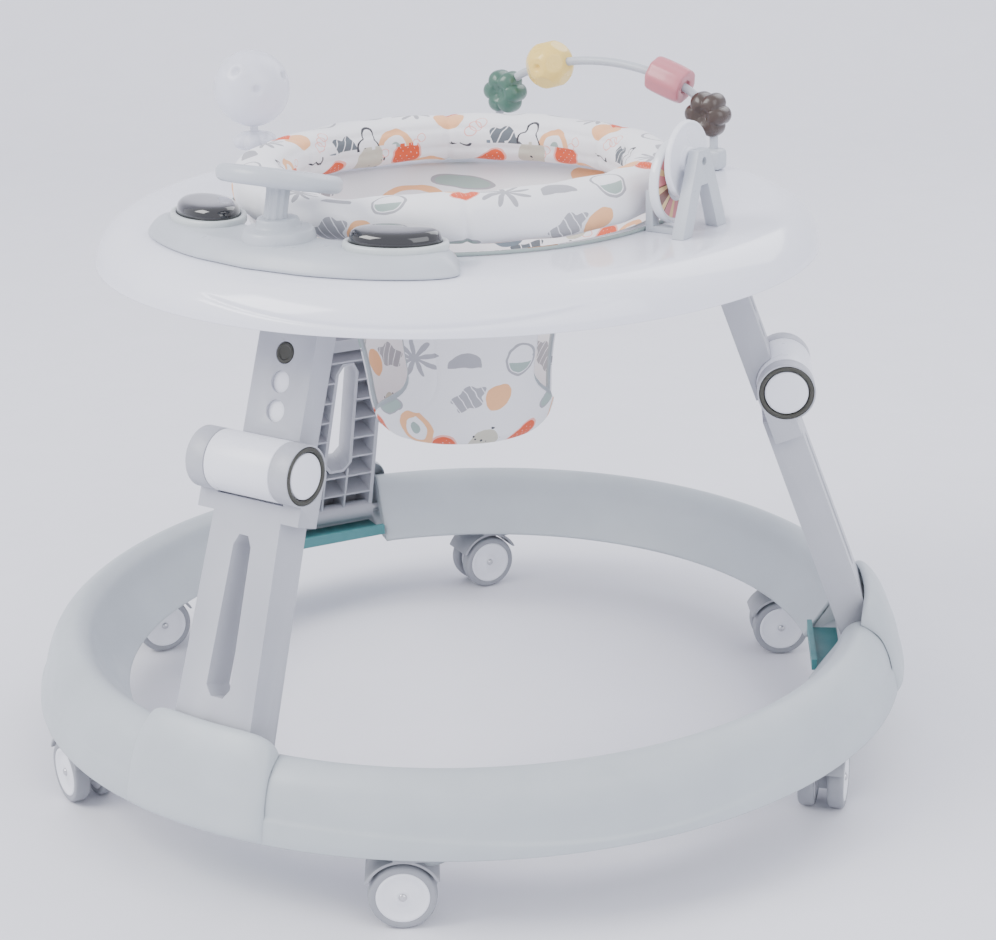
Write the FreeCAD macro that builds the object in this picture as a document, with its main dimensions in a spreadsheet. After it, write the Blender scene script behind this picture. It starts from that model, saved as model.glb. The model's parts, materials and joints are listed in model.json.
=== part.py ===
import FreeCAD, Part
import Sketcher
import math
import os
import re
from FreeCAD import Placement, Rotation, Vector

# A folding baby walker. Millimetres, +Z up, origin on the floor under the middle of the base ring.
# The front of the walker, with the play panel and one of the three legs, is towards -Y.

os.makedirs("parts", exist_ok=True)
doc = FreeCAD.newDocument("BabyWalker")

# ---------------------------------------------------------------- driving dimensions
SIZES = [
    ("ring_radius", 350, "outer edge of the base ring"),
    ("ring_inner_radius", 279, "inner bottom edge of the base ring"),
    ("ring_crest_radius", 321, "highest line of the base ring"),
    ("ring_crest_height", 123, "floor to the top of the base ring"),
    ("ring_bottom_height", 68, "floor to the lower edge of the base ring"),
    ("ring_lip", 7, "height of the upright outer lip"),
    ("ring_wall", 3, "wall of the base ring"),
    ("pocket_span", 17.5, "degrees round the ring that a leg pocket takes"),
    ("cheek_span", 0.9, "degrees round the ring that a plate beside a pocket takes"),
    ("foot_pin_length", 102, "pin that a leg turns on"),
    ("liner_width", 83, "liner in the bottom of a leg pocket"),
    ("cover_wall", 5, "wall of a leg socket cover"),
    ("cover_span", 21, "degrees round the ring that a socket cover takes"),
    ("cover_gap", 0.4, "gap between cover and ring"),
    ("leg_clearance", 2, "gap between a leg and the end of its socket cover"),
    ("caster_circle", 324, "radius of the circle of caster stems"),
    ("caster_trail", 20, "stem to axle, level"),
    ("wheel_radius", 24.5, "caster wheel"),
    ("wheel_width", 12.5, "one of the two wheels of a caster"),
    ("wheel_gap", 10, "between the two wheels of a caster"),
    ("axle_radius", 2.5, "caster axle"),
    ("stem_radius", 4, "caster stem"),
    ("running_gap", 0.05, "radial play of a turning shaft"),
    ("knee_radius", 255, "walker axis to knee axis"),
    ("knee_height", 301, "floor to knee axis"),
    ("leg_tilt", 20, "lean of the legs, degrees from upright"),
    ("foot_pivot_down", 222.7, "knee axis to foot pivot along the leg"),
    ("foot_pivot_inward", 22.5, "knee axis to foot pivot across the leg"),
    ("top_pivot_up", 116.3, "knee axis to tray pivot along the leg"),
    ("top_pivot_outward", 5.1, "knee axis to tray pivot across the leg"),
    ("lower_top_width", 61, "lower leg, outer face, at the knee"),
    ("lower_foot_width", 73, "lower leg, outer face, at the foot"),
    ("lower_depth", 26, "lower leg, front to back"),
    ("lower_flare", 8, "degrees that its side walls flare"),
    ("lower_wall", 3, "lower leg walls"),
    ("rib_wall", 1.8, "ribs of the lower leg"),
    ("slot_top_width", 16, "lower leg slot"),
    ("slot_foot_width", 22, "lower leg slot"),
    ("slot_top_down", 50, "knee axis to the upper end of the slot"),
    ("slot_foot_down", 168, "knee axis to the lower end of the slot"),
    ("barrel_radius", 22.5, "knee barrel"),
    ("barrel_length", 60, "white middle of the knee barrel"),
    ("knee_cap_length", 16, "grey end of the knee barrel"),
    ("knee_ring_radius", 21.3, "dark ring round a knee button"),
    ("knee_button_radius", 17, "knee button"),
    ("button_travel", 2.5, "how far a knee button goes in"),
    ("knee_pin_radius", 6, "knee pin"),
    ("sleeve_width", 52, "upper leg sleeve"),
    ("sleeve_depth", 22, "upper leg sleeve"),
    ("sleeve_face", 4, "knee axis to the sleeve's outer face, across the leg"),
    ("sleeve_offset", 6, "sleeve's middle beside the barrel's middle"),
    ("sleeve_top", 103, "knee axis to the sleeve's upper end"),
    ("sleeve_wall", 2.5, "sleeve wall"),
    ("post_gap", 0.3, "play of the post in its sleeve"),
    ("post_neck", 16, "depth of the neck between post and eye, behind the knee axis"),
    ("height_hole_radius", 8, "height holes in the sleeve"),
    ("height_hole_top", 83, "knee axis to the upper height hole"),
    ("height_hole_pitch", 21, "height hole to height hole"),
    ("height_button_travel", 3, "how far a height button goes in"),
    ("lug_radius", 9, "eye at the top of a post"),
    ("top_pin_radius", 4, "pin of a tray pivot"),
    ("top_pin_play", 0.05, "play of the front tray pivot"),
    ("open_pivot_play", 3.4, "play of the other two tray pivots"),
    ("bracket_gap", 5, "post to bracket cheek"),
    ("bracket_wall", 4, "bracket cheek"),
    ("bracket_depth", 34, "bracket from front to back"),
    ("bracket_roof", 2.5, "plate that joins the two cheeks"),
    ("tray_height", 442, "floor to the top of the tray"),
    ("tray_edge_radius", 250, "where the flat top of the tray ends"),
    ("tray_rim_radius", 280, "widest line of the tray"),
    ("tray_rim_height", 411, "floor to the lower edge of the tray"),
    ("tray_opening_radius", 170, "opening for the seat"),
    ("tray_wall", 3, "tray wall"),
    ("seat_pad_outer", 176, "padded seat rim"),
    ("seat_pad_inner", 128, "padded seat rim"),
    ("seat_pad_rise", 45, "tray top to the crest of the seat rim"),
    ("seat_waist_radius", 86, "hanging seat, where it is narrow"),
    ("seat_waist_height", 386, "floor to the seat's waist"),
    ("seat_bottom_radius", 66, "hanging seat at its bottom"),
    ("seat_bottom_height", 265, "floor to the seat's bottom"),
    ("seat_cloth", 4, "cloth and wadding of the hanging seat"),
    ("crotch_width", 80, "strip between the two leg openings"),
    ("leg_opening_width", 84, "leg opening"),
    ("leg_opening_top", 384, "floor to the upper edge of a leg opening"),
    ("seat_front_azimuth", -48, "way that the seat faces, degrees"),
    ("panel_azimuth", -92, "middle of the play panel, degrees"),
    ("panel_span", 76, "degrees round the tray that the panel takes"),
    ("panel_outer_radius", 246, "outer edge of the play panel"),
    ("panel_inner_radius", 182, "inner edge of the play panel"),
    ("panel_rise", 14, "thickness of the play panel"),
    ("dome_circle", 205, "radius of the circle of domes"),
    ("dome_spread", 25.5, "degrees from the panel's middle to a dome"),
    ("dome_length", 66, "push dome, round the panel"),
    ("dome_width", 43, "push dome, across the panel"),
    ("dome_rise", 12, "push dome above its light ring"),
    ("dome_travel", 3, "how far a dome goes down"),
    ("steering_circle", 203, "walker axis to the steering post"),
    ("steering_radius", 45, "toy steering wheel"),
    ("steering_rim", 6.5, "half thickness of its rim"),
    ("steering_height", 498, "floor to the middle of the steering wheel"),
    ("steering_tilt", 14, "lean of the steering wheel, degrees"),
    ("ball_circle", 202, "walker axis to the rattle post"),
    ("ball_radius", 31, "rattle ball"),
    ("ball_height", 515, "floor to the middle of the rattle ball"),
    ("arch_half_span", 107.5, "arch tube, middle to foot"),
    ("arch_top", 522, "floor to the top of the arch tube, centre line"),
    ("arch_corner", 45, "bend of the arch tube"),
    ("arch_spring", 465, "floor to where the arch starts to bend"),
    ("arch_tube_radius", 3.5, "arch tube"),
    ("arch_distance", 203, "walker axis to the plane of the arch"),
    ("bead_bore", 6, "bore of the beads on the arch's crown"),
    ("bend_bead_bore", 8.4, "bore of the beads on the arch's bends"),
    ("flower_petal", 8.5, "radius of a flower bead's petal"),
    ("flower_reach", 11, "middle of a flower bead to the middle of a petal"),
    ("flower_thickness", 24, "flower bead on the arch"),
    ("small_petal", 7, "radius of the clear bead's petal"),
    ("small_reach", 10, "middle of the clear bead to the middle of a petal"),
    ("small_thickness", 15, "clear flower bead under the rattle ball"),
    ("small_drop", 12, "underside of the rattle ball to the middle of the clear bead"),
    ("pink_bead_radius", 15, "pink cylinder bead"),
    ("pink_bead_length", 32, "pink cylinder bead"),
    ("yellow_bead_radius", 19.5, "yellow ball bead"),
    ("brown_bead_angle", 29, "place of the brown bead on the arch's right bend, degrees"),
    ("green_bead_angle", 148, "place of the green bead on the arch's left bend, degrees"),
    ("pink_bead_angle", 72.2, "place of the pink bead on the arch's crown, degrees"),
    ("yellow_bead_angle", 104.5, "place of the yellow bead on the arch's crown, degrees"),
    ("arch_aside", 7.5, "middle of the arch to the walker's middle plane"),
    ("arch_turn", -1.4, "turn of the arch about the upright, degrees"),
    ("spinner_distance", 213, "walker axis to the spinner stand"),
    ("spinner_offset", 5, "spinner stand to the side"),
    ("spinner_height", 494, "floor to the axle of the white disc"),
    ("picture_height", 478, "floor to the axle of the picture disc"),
    ("white_disc_radius", 28, "white disc"),
    ("picture_disc_radius", 31, "picture disc"),
    ("spinner_axle_radius", 3, "spinner axles"),
]
NAMES = {name for name, number, note in SIZES}

sheet = doc.addObject("Spreadsheet::Sheet", "Sizes")
for row, (name, number, note) in enumerate(SIZES, start=1):
    sheet.set(f"A{row}", note)
    sheet.set(f"B{row}", str(number))
    sheet.setAlias(f"B{row}", name)
doc.recompute()


def sized(text):
    """The same formula with every size named as a cell of the sheet."""
    return re.sub(r"[a-z][a-z_0-9]*", lambda m: f"Sizes.{m[0]}" if m[0] in NAMES else m[0], str(text))


def amount(text):
    """The number that a formula of sizes gives now."""
    number = sheet.evalExpression(sized(text))
    return float(getattr(number, "Value", number))


# ---------------------------------------------------------------- building blocks
def move(item, x, y, z, turn=None):
    """Put an object at a place given by formulas, and turn it."""
    item.Placement = Placement(Vector(amount(x), amount(y), amount(z)), turn or Rotation())
    for letter, text in (("x", x), ("y", y), ("z", z)):
        item.setExpression(f"Placement.Base.{letter}", sized(text))
    return item


def block(name, x, y, z, length, width, height):
    """A box from its low corner and its three sides."""
    item = doc.addObject("Part::Box", name)
    item.setExpression("Length", sized(length))
    item.setExpression("Width", sized(width))
    item.setExpression("Height", sized(height))
    return move(item, x, y, z)


def carry(item, placement):
    """Turn and shift an object, from where its formulas put it, into another frame."""
    for letter in "xyz":
        item.setExpression(f"Placement.Base.{letter}", None)
    item.Placement = placement * item.Placement
    return item


AXES = {
    "x": Rotation(Vector(0, 1, 0), 90),
    "y": Rotation(Vector(1, 0, 0), -90),
    "z": Rotation(),
}


def rod(name, radius, length, x, y, z, along="z"):
    """A cylinder that starts at a point and runs along an axis."""
    item = doc.addObject("Part::Cylinder", name)
    item.setExpression("Radius", sized(radius))
    item.setExpression("Height", sized(length))
    return move(item, x, y, z, AXES[along])


def taper(name, low_radius, high_radius, length, x, y, z):
    """An upright cone frustum."""
    item = doc.addObject("Part::Cone", name)
    item.setExpression("Radius1", sized(low_radius))
    item.setExpression("Radius2", sized(high_radius))
    item.setExpression("Height", sized(length))
    return move(item, x, y, z)


def ball(name, radius, x, y, z):
    item = doc.addObject("Part::Sphere", name)
    item.setExpression("Radius", sized(radius))
    return move(item, x, y, z)


def dome(name, rise, half_length, half_width, x, y, z):
    """The upper half of an ellipsoid, longest along X."""
    item = doc.addObject("Part::Ellipsoid", name)
    item.setExpression("Radius1", sized(rise))
    item.setExpression("Radius2", sized(half_length))
    item.setExpression("Radius3", sized(half_width))
    item.Angle1 = 0
    return move(item, x, y, z)


def torus(name, radius, tube, x, y, z, turn=None, sweep=360):
    item = doc.addObject("Part::Torus", name)
    item.setExpression("Radius1", sized(radius))
    item.setExpression("Radius2", sized(tube))
    item.Angle3 = sweep
    return move(item, x, y, z, turn)


def joined(name, *items):
    item = doc.addObject("Part::MultiFuse", name)
    item.Shapes = list(items)
    item.Refine = True
    return item


def less(name, base, *tools):
    """The base with each tool taken away."""
    item = doc.addObject("Part::Cut", name)
    item.Base = base
    item.Tool = tools[0] if len(tools) == 1 else joined(name + "_tools", *tools)
    item.Refine = True
    return item


def shared(name, *items):
    item = doc.addObject("Part::MultiCommon", name)
    item.Shapes = list(items)
    return item


def group(name, *items):
    """Several separate solids in one sub-part."""
    item = doc.addObject("Part::Compound", name)
    item.Links = list(items)
    return item


def outline(sketch, points):
    """A closed line of straight sides, each corner held from the origin by two driven distances."""
    spots = [Vector(amount(x), amount(y), 0) for x, y in points]
    for start, end in zip(spots, spots[1:] + spots[:1]):
        sketch.addGeometry(Part.LineSegment(start, end))
    for side in range(len(points)):
        sketch.addConstraint(Sketcher.Constraint("Coincident", side, 2, (side + 1) % len(points), 1))
    for side, corner in enumerate(points):
        for kind, axis, text in zip(("DistanceX", "DistanceY"), (-2, -1), corner):
            if str(text) == "0":
                sketch.addConstraint(Sketcher.Constraint("PointOnObject", side, 1, axis))
                continue
            held = sketch.addConstraint(Sketcher.Constraint(kind, -1, 1, side, 1, amount(text)))
            sketch.setExpression(f"Constraints[{held}]", sized(text))
    return sketch


def turned(name, points, span="360"):
    """A body turned round the Z axis from a (radius, height) outline, centred on the XZ plane."""
    body = doc.addObject("PartDesign::Body", name)
    sketch = body.newObject("Sketcher::SketchObject", name + "_profile")
    plane = next(item for item in body.Origin.OriginFeatures if item.Role == "XZ_Plane")
    sketch.AttachmentSupport = [(plane, "")]
    sketch.MapMode = "FlatFace"
    outline(sketch, points)
    spin = body.newObject("PartDesign::Revolution", name + "_turn")
    spin.Profile = sketch
    spin.ReferenceAxis = (sketch, ["V_Axis"])
    spin.Midplane = True
    spin.setExpression("Angle", sized(span))
    return body


def plate(name, points, length, flare="0", start="0"):
    """An outline in X and Y grown towards -Z from a start depth, with sides that may flare."""
    sketch = doc.addObject("Sketcher::SketchObject", name + "_outline")
    outline(sketch, points)
    item = doc.addObject("Part::Extrusion", name)
    item.Base = sketch
    item.DirMode = "Custom"
    item.Dir = Vector(0, 0, -1)
    item.setExpression("LengthFwd", sized(length))
    item.setExpression("TaperAngle", sized(flare))
    item.Solid = True
    return move(item, "0", "0", f"-({start})")


sub_parts = []


def finish(item, label, placement=None):
    """Give a sub-part its own name and its place in the walker."""
    item.Label = label
    if placement:
        for letter in "xyz":
            item.setExpression(f"Placement.Base.{letter}", None)
        item.Placement = placement
    sub_parts.append(item)
    return item


def round_z(azimuth):
    """A turn about the walker's axis that brings -Y to an azimuth."""
    return Placement(Vector(), Rotation(Vector(0, 0, 1), azimuth + 90))


def leg_place(azimuth):
    """Leg frame: X along the knee, Y up the leg, Z outwards, with the knee axis at the origin."""
    knee = Vector(0, -amount("knee_radius"), amount("knee_height"))
    lean = Rotation(Vector(1, 0, 0), 90 - amount("leg_tilt"))
    return round_z(azimuth) * Placement(knee, lean)


LEGS = {"front": -90, "right": 30, "left": 150}
CASTERS = {1: 0, 2: 60, 3: 120, 4: 180, 5: 240, 6: 300}
CASTER_TRAILS = {1: 110, 2: 216, 3: 241, 4: 241, 5: 156, 6: 216}

# ---------------------------------------------------------------- base ring
RING_TOP = [
    ("ring_radius", "ring_bottom_height + ring_lip"),
    ("ring_radius - 7", "ring_crest_height - 22"),
    ("ring_radius - 17", "ring_crest_height - 6"),
    ("ring_crest_radius", "ring_crest_height"),
    ("ring_crest_radius - 12", "ring_crest_height - 7"),
    ("ring_crest_radius - 20", "ring_crest_height - 22"),
]
ring_outer = [("ring_radius", "ring_bottom_height")] + RING_TOP + [
    ("ring_inner_radius", "ring_bottom_height + 3"),
    ("ring_inner_radius", "ring_bottom_height"),
]
ring_inside = [
    ("ring_inner_radius + ring_wall", "ring_bottom_height"),
    ("ring_inner_radius + ring_wall", "ring_bottom_height + 3"),
    ("ring_crest_radius - 20 + ring_wall", "ring_crest_height - 23"),
    ("ring_crest_radius - 10", "ring_crest_height - 7 - ring_wall"),
    ("ring_crest_radius", "ring_crest_height - ring_wall"),
    ("ring_radius - 17 - ring_wall", "ring_crest_height - 6 - ring_wall"),
    ("ring_radius - 7 - ring_wall", "ring_crest_height - 23"),
    ("ring_radius - ring_wall", "ring_bottom_height + ring_lip"),
    ("ring_radius - ring_wall", "ring_bottom_height"),
]
ring_shell = turned("ring_shell", ring_outer + ring_inside)
BOSS_BOTTOM = "2 * wheel_radius + 9"
core = [("ring_radius - 1", BOSS_BOTTOM)] + [(f"{r} - 1", f"{z} - 1") for r, z in RING_TOP]
core += [("ring_inner_radius + 1", "ring_bottom_height + 2"), ("ring_inner_radius + 1", BOSS_BOTTOM)]

pocket_block = [
    ("ring_inner_radius - 10", "ring_bottom_height - 20"),
    ("ring_radius - 16", "ring_bottom_height - 20"),
    ("ring_radius - 16", "ring_crest_height + 10"),
    ("ring_inner_radius - 10", "ring_crest_height + 10"),
]
ring_core = turned("ring_core", core)
pocket_cuts = []
pocket_cheeks = []
for leg, azimuth in LEGS.items():
    cut = turned(f"{leg}_pocket", pocket_block, "pocket_span")
    cut.Placement = Placement(Vector(), Rotation(Vector(0, 0, 1), azimuth))
    pocket_cuts.append(cut)
    for side in (-1, 1):
        cheek = turned(f"{leg}_cheek_{'a' if side < 0 else 'b'}", core, "cheek_span")
        swing = azimuth + side * amount("pocket_span + cheek_span") / 2
        cheek.Placement = Placement(Vector(), Rotation(Vector(0, 0, 1), swing))
        pocket_cheeks.append(cheek)

bosses = []
stem_bores = []
for number, azimuth in CASTERS.items():
    for kind, radius, length, kept in (
        ("boss", "stem_radius + 9", "ring_crest_height - 12 - (" + BOSS_BOTTOM + ")", bosses),
        ("bore", "stem_radius + running_gap", "36", stem_bores),
    ):
        post = rod(f"{kind}_{number}", radius, length, "0", "-caster_circle", BOSS_BOTTOM)
        carry(post, round_z(azimuth))
        kept.append(post)

boss_parts = shared("ring_bosses", joined("ring_posts", *bosses), ring_core)
inner_parts = joined("ring_inner_parts", boss_parts, *pocket_cheeks)
ring_cut = less("ring_with_pockets", ring_shell, *pocket_cuts)
pin_bores = []
for leg, azimuth in LEGS.items():
    bore = rod(
        f"{leg}_foot_pin_bore", "4 + running_gap", "foot_pin_length + 12",
        "-(foot_pin_length / 2 + 6)", "-foot_pivot_down", "-foot_pivot_inward", "x",
    )
    carry(bore, leg_place(azimuth))
    pin_bores.append(bore)
ring = less("base_ring", joined("ring_joined", ring_cut, inner_parts), *(stem_bores + pin_bores))
finish(ring, "base_ring")

# ---------------------------------------------------------------- socket covers, pins and liners
def over(point, grow):
    """A corner of the ring's outside, moved out and up."""
    radius, height = point
    return f"{radius} + {grow}", f"{height} + {grow} / 2"


outer_corners = RING_TOP[:3] + [("ring_crest_radius + leg_clearance", "ring_crest_height")]
cover_outside = [over(corner, "(cover_gap + cover_wall)") for corner in outer_corners]
cover_inside = [over(corner, "cover_gap") for corner in outer_corners]
cover_profile = (
    [("ring_radius + cover_gap + cover_wall", "ring_bottom_height - 2")]
    + cover_outside
    + cover_inside[::-1]
    + [("ring_radius + cover_gap", "ring_bottom_height - 2")]
)
covers = []
for leg, azimuth in LEGS.items():
    cover = turned(f"{leg}_cover", cover_profile, "cover_span")
    cover.Placement = Placement(Vector(), Rotation(Vector(0, 0, 1), azimuth))
    covers.append(cover)
finish(group("covers", *covers), "leg_socket_covers")

pins = []
liners = []
for leg, azimuth in LEGS.items():
    pin = rod(
        f"{leg}_foot_pin", "4", "foot_pin_length",
        "-foot_pin_length / 2", "-foot_pivot_down", "-foot_pivot_inward", "x",
    )
    carry(pin, leg_place(azimuth))
    pins.append(pin)
    floor = block(
        f"{leg}_liner_floor",
        "-liner_width / 2", "-(ring_radius - 18)", "ring_bottom_height - 1",
        "liner_width", "ring_radius - 18 - ring_inner_radius", "2",
    )
    bar = block(
        f"{leg}_liner_bar",
        "-liner_width / 2", "-(ring_inner_radius + 4)", "ring_bottom_height - 1",
        "liner_width", "4", "9",
    )
    liner = joined(f"{leg}_liner", floor, bar)
    liner.Placement = round_z(azimuth)
    liners.append(liner)
finish(group("foot_pins", *pins), "foot_pivot_pins")
finish(group("liners", *liners), "foot_liners")

# ---------------------------------------------------------------- casters
HALF_GAP = "wheel_gap / 2"
PLATE_BOTTOM = "2 * wheel_radius + 3"
for number, azimuth in CASTERS.items():
    centre = round_z(azimuth).multVec(Vector(0, -amount("caster_circle"), 0))
    place = Placement(centre, Rotation(Vector(0, 0, 1), CASTER_TRAILS[number]))
    stem = rod(f"stem_{number}", "stem_radius", "38", "0", "0", PLATE_BOTTOM + " + 2")
    top = block(
        f"fork_top_{number}",
        "-12", "-(wheel_gap / 2 + wheel_width)", PLATE_BOTTOM,
        "caster_trail + 18", "wheel_gap + 2 * wheel_width", "4",
    )
    hub = rod(f"fork_hub_{number}", "stem_radius + 7", "5", "0", "0", PLATE_BOTTOM)
    web = block(
        f"fork_web_{number}",
        "caster_trail - 8", f"-({HALF_GAP} - 1)", "wheel_radius - 8",
        "16", "wheel_gap - 2", "wheel_radius + 14",
    )
    hood = less(
        f"fork_hood_{number}",
        rod(
            f"hood_outside_{number}", "wheel_radius + 4.5", "wheel_gap + 2 * wheel_width",
            "caster_trail", "-(wheel_gap / 2 + wheel_width)", "wheel_radius", "y",
        ),
        rod(
            f"hood_inside_{number}", "wheel_radius + 2.5", "wheel_gap + 2 * wheel_width + 2",
            "caster_trail", "-(wheel_gap / 2 + wheel_width + 1)", "wheel_radius", "y",
        ),
        block(
            f"hood_lower_{number}",
            "caster_trail - 60", "-60", "-40",
            "120", "120", "wheel_radius + 40 + 12",
        ),
    )
    axle_bore = rod(
        f"axle_bore_{number}", "axle_radius + running_gap", "wheel_gap",
        "caster_trail", f"-({HALF_GAP})", "wheel_radius", "y",
    )
    fork = less(f"fork_{number}", joined(f"fork_body_{number}", stem, top, hub, web, hood), axle_bore)
    finish(fork, f"caster_fork_{number}", place)

    discs = []
    for side in (-1, 1):
        near = HALF_GAP if side > 0 else f"-({HALF_GAP} + wheel_width)"
        tyre = rod(
            f"tyre_{number}_{'b' if side > 0 else 'a'}", "wheel_radius", "wheel_width",
            "caster_trail", near, "wheel_radius", "y",
        )
        outer_face = f"{HALF_GAP} + wheel_width - 1.5" if side > 0 else f"-({HALF_GAP} + wheel_width + 1)"
        dish = rod(
            f"dish_{number}_{'b' if side > 0 else 'a'}", "wheel_radius - 5", "2.5",
            "caster_trail", outer_face, "wheel_radius", "y",
        )
        discs.append(less(f"wheel_{number}_{'b' if side > 0 else 'a'}", tyre, dish))
    axle = rod(
        f"axle_{number}", "axle_radius", "wheel_gap + 2 * wheel_width - 1",
        "caster_trail", f"-({HALF_GAP} + wheel_width - 0.5)", "wheel_radius", "y",
    )
    finish(joined(f"wheels_{number}", *discs, axle), f"caster_wheels_{number}", place)

# ---------------------------------------------------------------- legs, in the leg frame
LOWER_TOP = "-(barrel_radius + 1.5)"
LOWER_FOOT = "-(foot_pivot_down + 8)"
CAP_START = "barrel_length / 2 + 0.3"
CAP_END = "barrel_length / 2 + 0.3 + knee_cap_length"
RIB_PITCH = 22
RIB_COUNT = 9


def board(inset):
    """The lower leg's outer face, drawn in by an inset."""
    return [
        (f"-(lower_top_width / 2 - {inset})", f"{LOWER_TOP} - {inset}"),
        (f"lower_top_width / 2 - {inset}", f"{LOWER_TOP} - {inset}"),
        (f"lower_foot_width / 2 - {inset}", f"{LOWER_FOOT} + {inset}"),
        (f"-(lower_foot_width / 2 - {inset})", f"{LOWER_FOOT} + {inset}"),
    ]


def slot_outline(grow):
    """The slot's straight-sided outline, its ends cut off at the corners."""
    half_top = f"slot_top_width / 2 + {grow}"
    half_foot = f"slot_foot_width / 2 + {grow}"
    return [
        (f"-({half_top}) / 2", f"-slot_top_down + {grow}"),
        (f"({half_top}) / 2", f"-slot_top_down + {grow}"),
        (half_top, "-(slot_top_down + slot_top_width / 2)"),
        (half_foot, "-(slot_foot_down - slot_foot_width / 3)"),
        (f"({half_foot}) / 2", f"-slot_foot_down - {grow}"),
        (f"-({half_foot}) / 2", f"-slot_foot_down - {grow}"),
        (f"-({half_foot})", "-(slot_foot_down - slot_foot_width / 3)"),
        (f"-({half_top})", "-(slot_top_down + slot_top_width / 2)"),
    ]


def lower_leg(leg):
    """A moulded board, open and ribbed at the back, with the two ends of the knee barrel."""
    outside = plate(f"{leg}_board", board("0"), "lower_depth", "lower_flare")
    hollow = plate(f"{leg}_hollow", board("lower_wall"), "lower_depth", "lower_flare", "lower_wall")
    ribs = [plate(f"{leg}_slot_wall", slot_outline("lower_wall"), "lower_depth")]
    for number in range(1, RIB_COUNT):
        ribs.append(block(
            f"{leg}_rib_{number}",
            "-lower_foot_width", f"{LOWER_TOP} - {RIB_PITCH * number}", "-lower_depth",
            "2 * lower_foot_width", "rib_wall", "lower_depth",
        ))
    for place in (-1, 1):
        ribs.append(block(
            f"{leg}_upright_{'a' if place < 0 else 'b'}",
            f"{place} * slot_foot_width / 2 - rib_wall / 2", LOWER_FOOT, "-lower_depth",
            "rib_wall", "foot_pivot_down + 8 - slot_foot_down", "lower_depth",
        ))
    inside = shared(f"{leg}_ribs_inside", joined(f"{leg}_ribs", *ribs), outside)
    shell = less(f"{leg}_board_shell", outside, hollow)
    ends = []
    for side in (-1, 1):
        letter = "a" if side < 0 else "b"
        near = CAP_START if side > 0 else f"-({CAP_END})"
        ends.append(rod(f"{leg}_cap_{letter}", "barrel_radius", "knee_cap_length", near, "0", "0", "x"))
        ends.append(block(
            f"{leg}_ear_{letter}", near, "-(barrel_radius + 14)", "-(barrel_radius - 1)",
            "knee_cap_length", "barrel_radius + 8", "barrel_radius - 1",
        ))
    ends.append(block(
        f"{leg}_yoke",
        f"-({CAP_END})", "-(barrel_radius + 14)", "-(barrel_radius - 1)",
        f"2 * ({CAP_END})", "12.5", "barrel_radius - 1",
    ))
    boss = rod(
        f"{leg}_foot_boss", "9", "lower_foot_width + 6",
        "-(lower_foot_width / 2 + 3)", "-foot_pivot_down", "-foot_pivot_inward", "x",
    )
    solid = joined(f"{leg}_lower_solid", shell, inside, boss, *ends)
    cuts = [
        plate(f"{leg}_slot", slot_outline("0"), "lower_depth + 20", "0", "-5"),
        rod(
            f"{leg}_foot_bore", "4 + running_gap", "2 * lower_foot_width",
            "-lower_foot_width", "-foot_pivot_down", "-foot_pivot_inward", "x",
        ),
        rod(f"{leg}_barrel_room", "barrel_radius + 0.8", "2 * (" + CAP_START + ")",
            f"-({CAP_START})", "0", "0", "x"),
        rod(f"{leg}_knee_bore", "knee_pin_radius + running_gap", f"2 * ({CAP_START} + 8)",
            f"-({CAP_START} + 8)", "0", "0", "x"),
    ]
    for side in (-1, 1):
        letter = "a" if side < 0 else "b"
        deep = f"{CAP_END} - 10.5"
        seat = f"{CAP_END} - 6.5"
        for kind, radius, start, length in (
            ("button_room", "knee_button_radius + 0.2", deep, "12"),
            ("ring_room", "knee_ring_radius", seat, "8"),
        ):
            near = start if side > 0 else f"-({start} + {length})"
            cuts.append(rod(f"{leg}_{kind}_{letter}", radius, length, near, "0", "0", "x"))
    return less(f"{leg}_lower", solid, *cuts)


def sleeve(leg):
    """The upper leg's square tube, open at the top, closed round the knee barrel."""
    low = "-6"
    outside = block(
        f"{leg}_sleeve_outside",
        "sleeve_offset - sleeve_width / 2", low, "-(sleeve_face + sleeve_depth)",
        "sleeve_width", "sleeve_top + 6", "sleeve_depth",
    )
    inside = block(
        f"{leg}_sleeve_inside",
        "sleeve_offset - sleeve_width / 2 + sleeve_wall", "barrel_radius + 4",
        "-(sleeve_face + sleeve_depth - sleeve_wall)",
        "sleeve_width - 2 * sleeve_wall", "sleeve_top", "sleeve_depth - 2 * sleeve_wall",
    )
    cuts = [inside, rod(
        f"{leg}_sleeve_round_barrel", "barrel_radius + 0.3", "4 * knee_cap_length + barrel_length",
        "-(2 * knee_cap_length + barrel_length / 2)", "0", "0", "x",
    )]
    for step in range(3):
        cuts.append(rod(
            f"{leg}_height_hole_{step}", "height_hole_radius", "sleeve_wall + 2",
            "sleeve_offset", f"height_hole_top - {step} * height_hole_pitch", "-(sleeve_face + sleeve_wall + 1)",
        ))
    return less(f"{leg}_sleeve", outside, *cuts)


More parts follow.
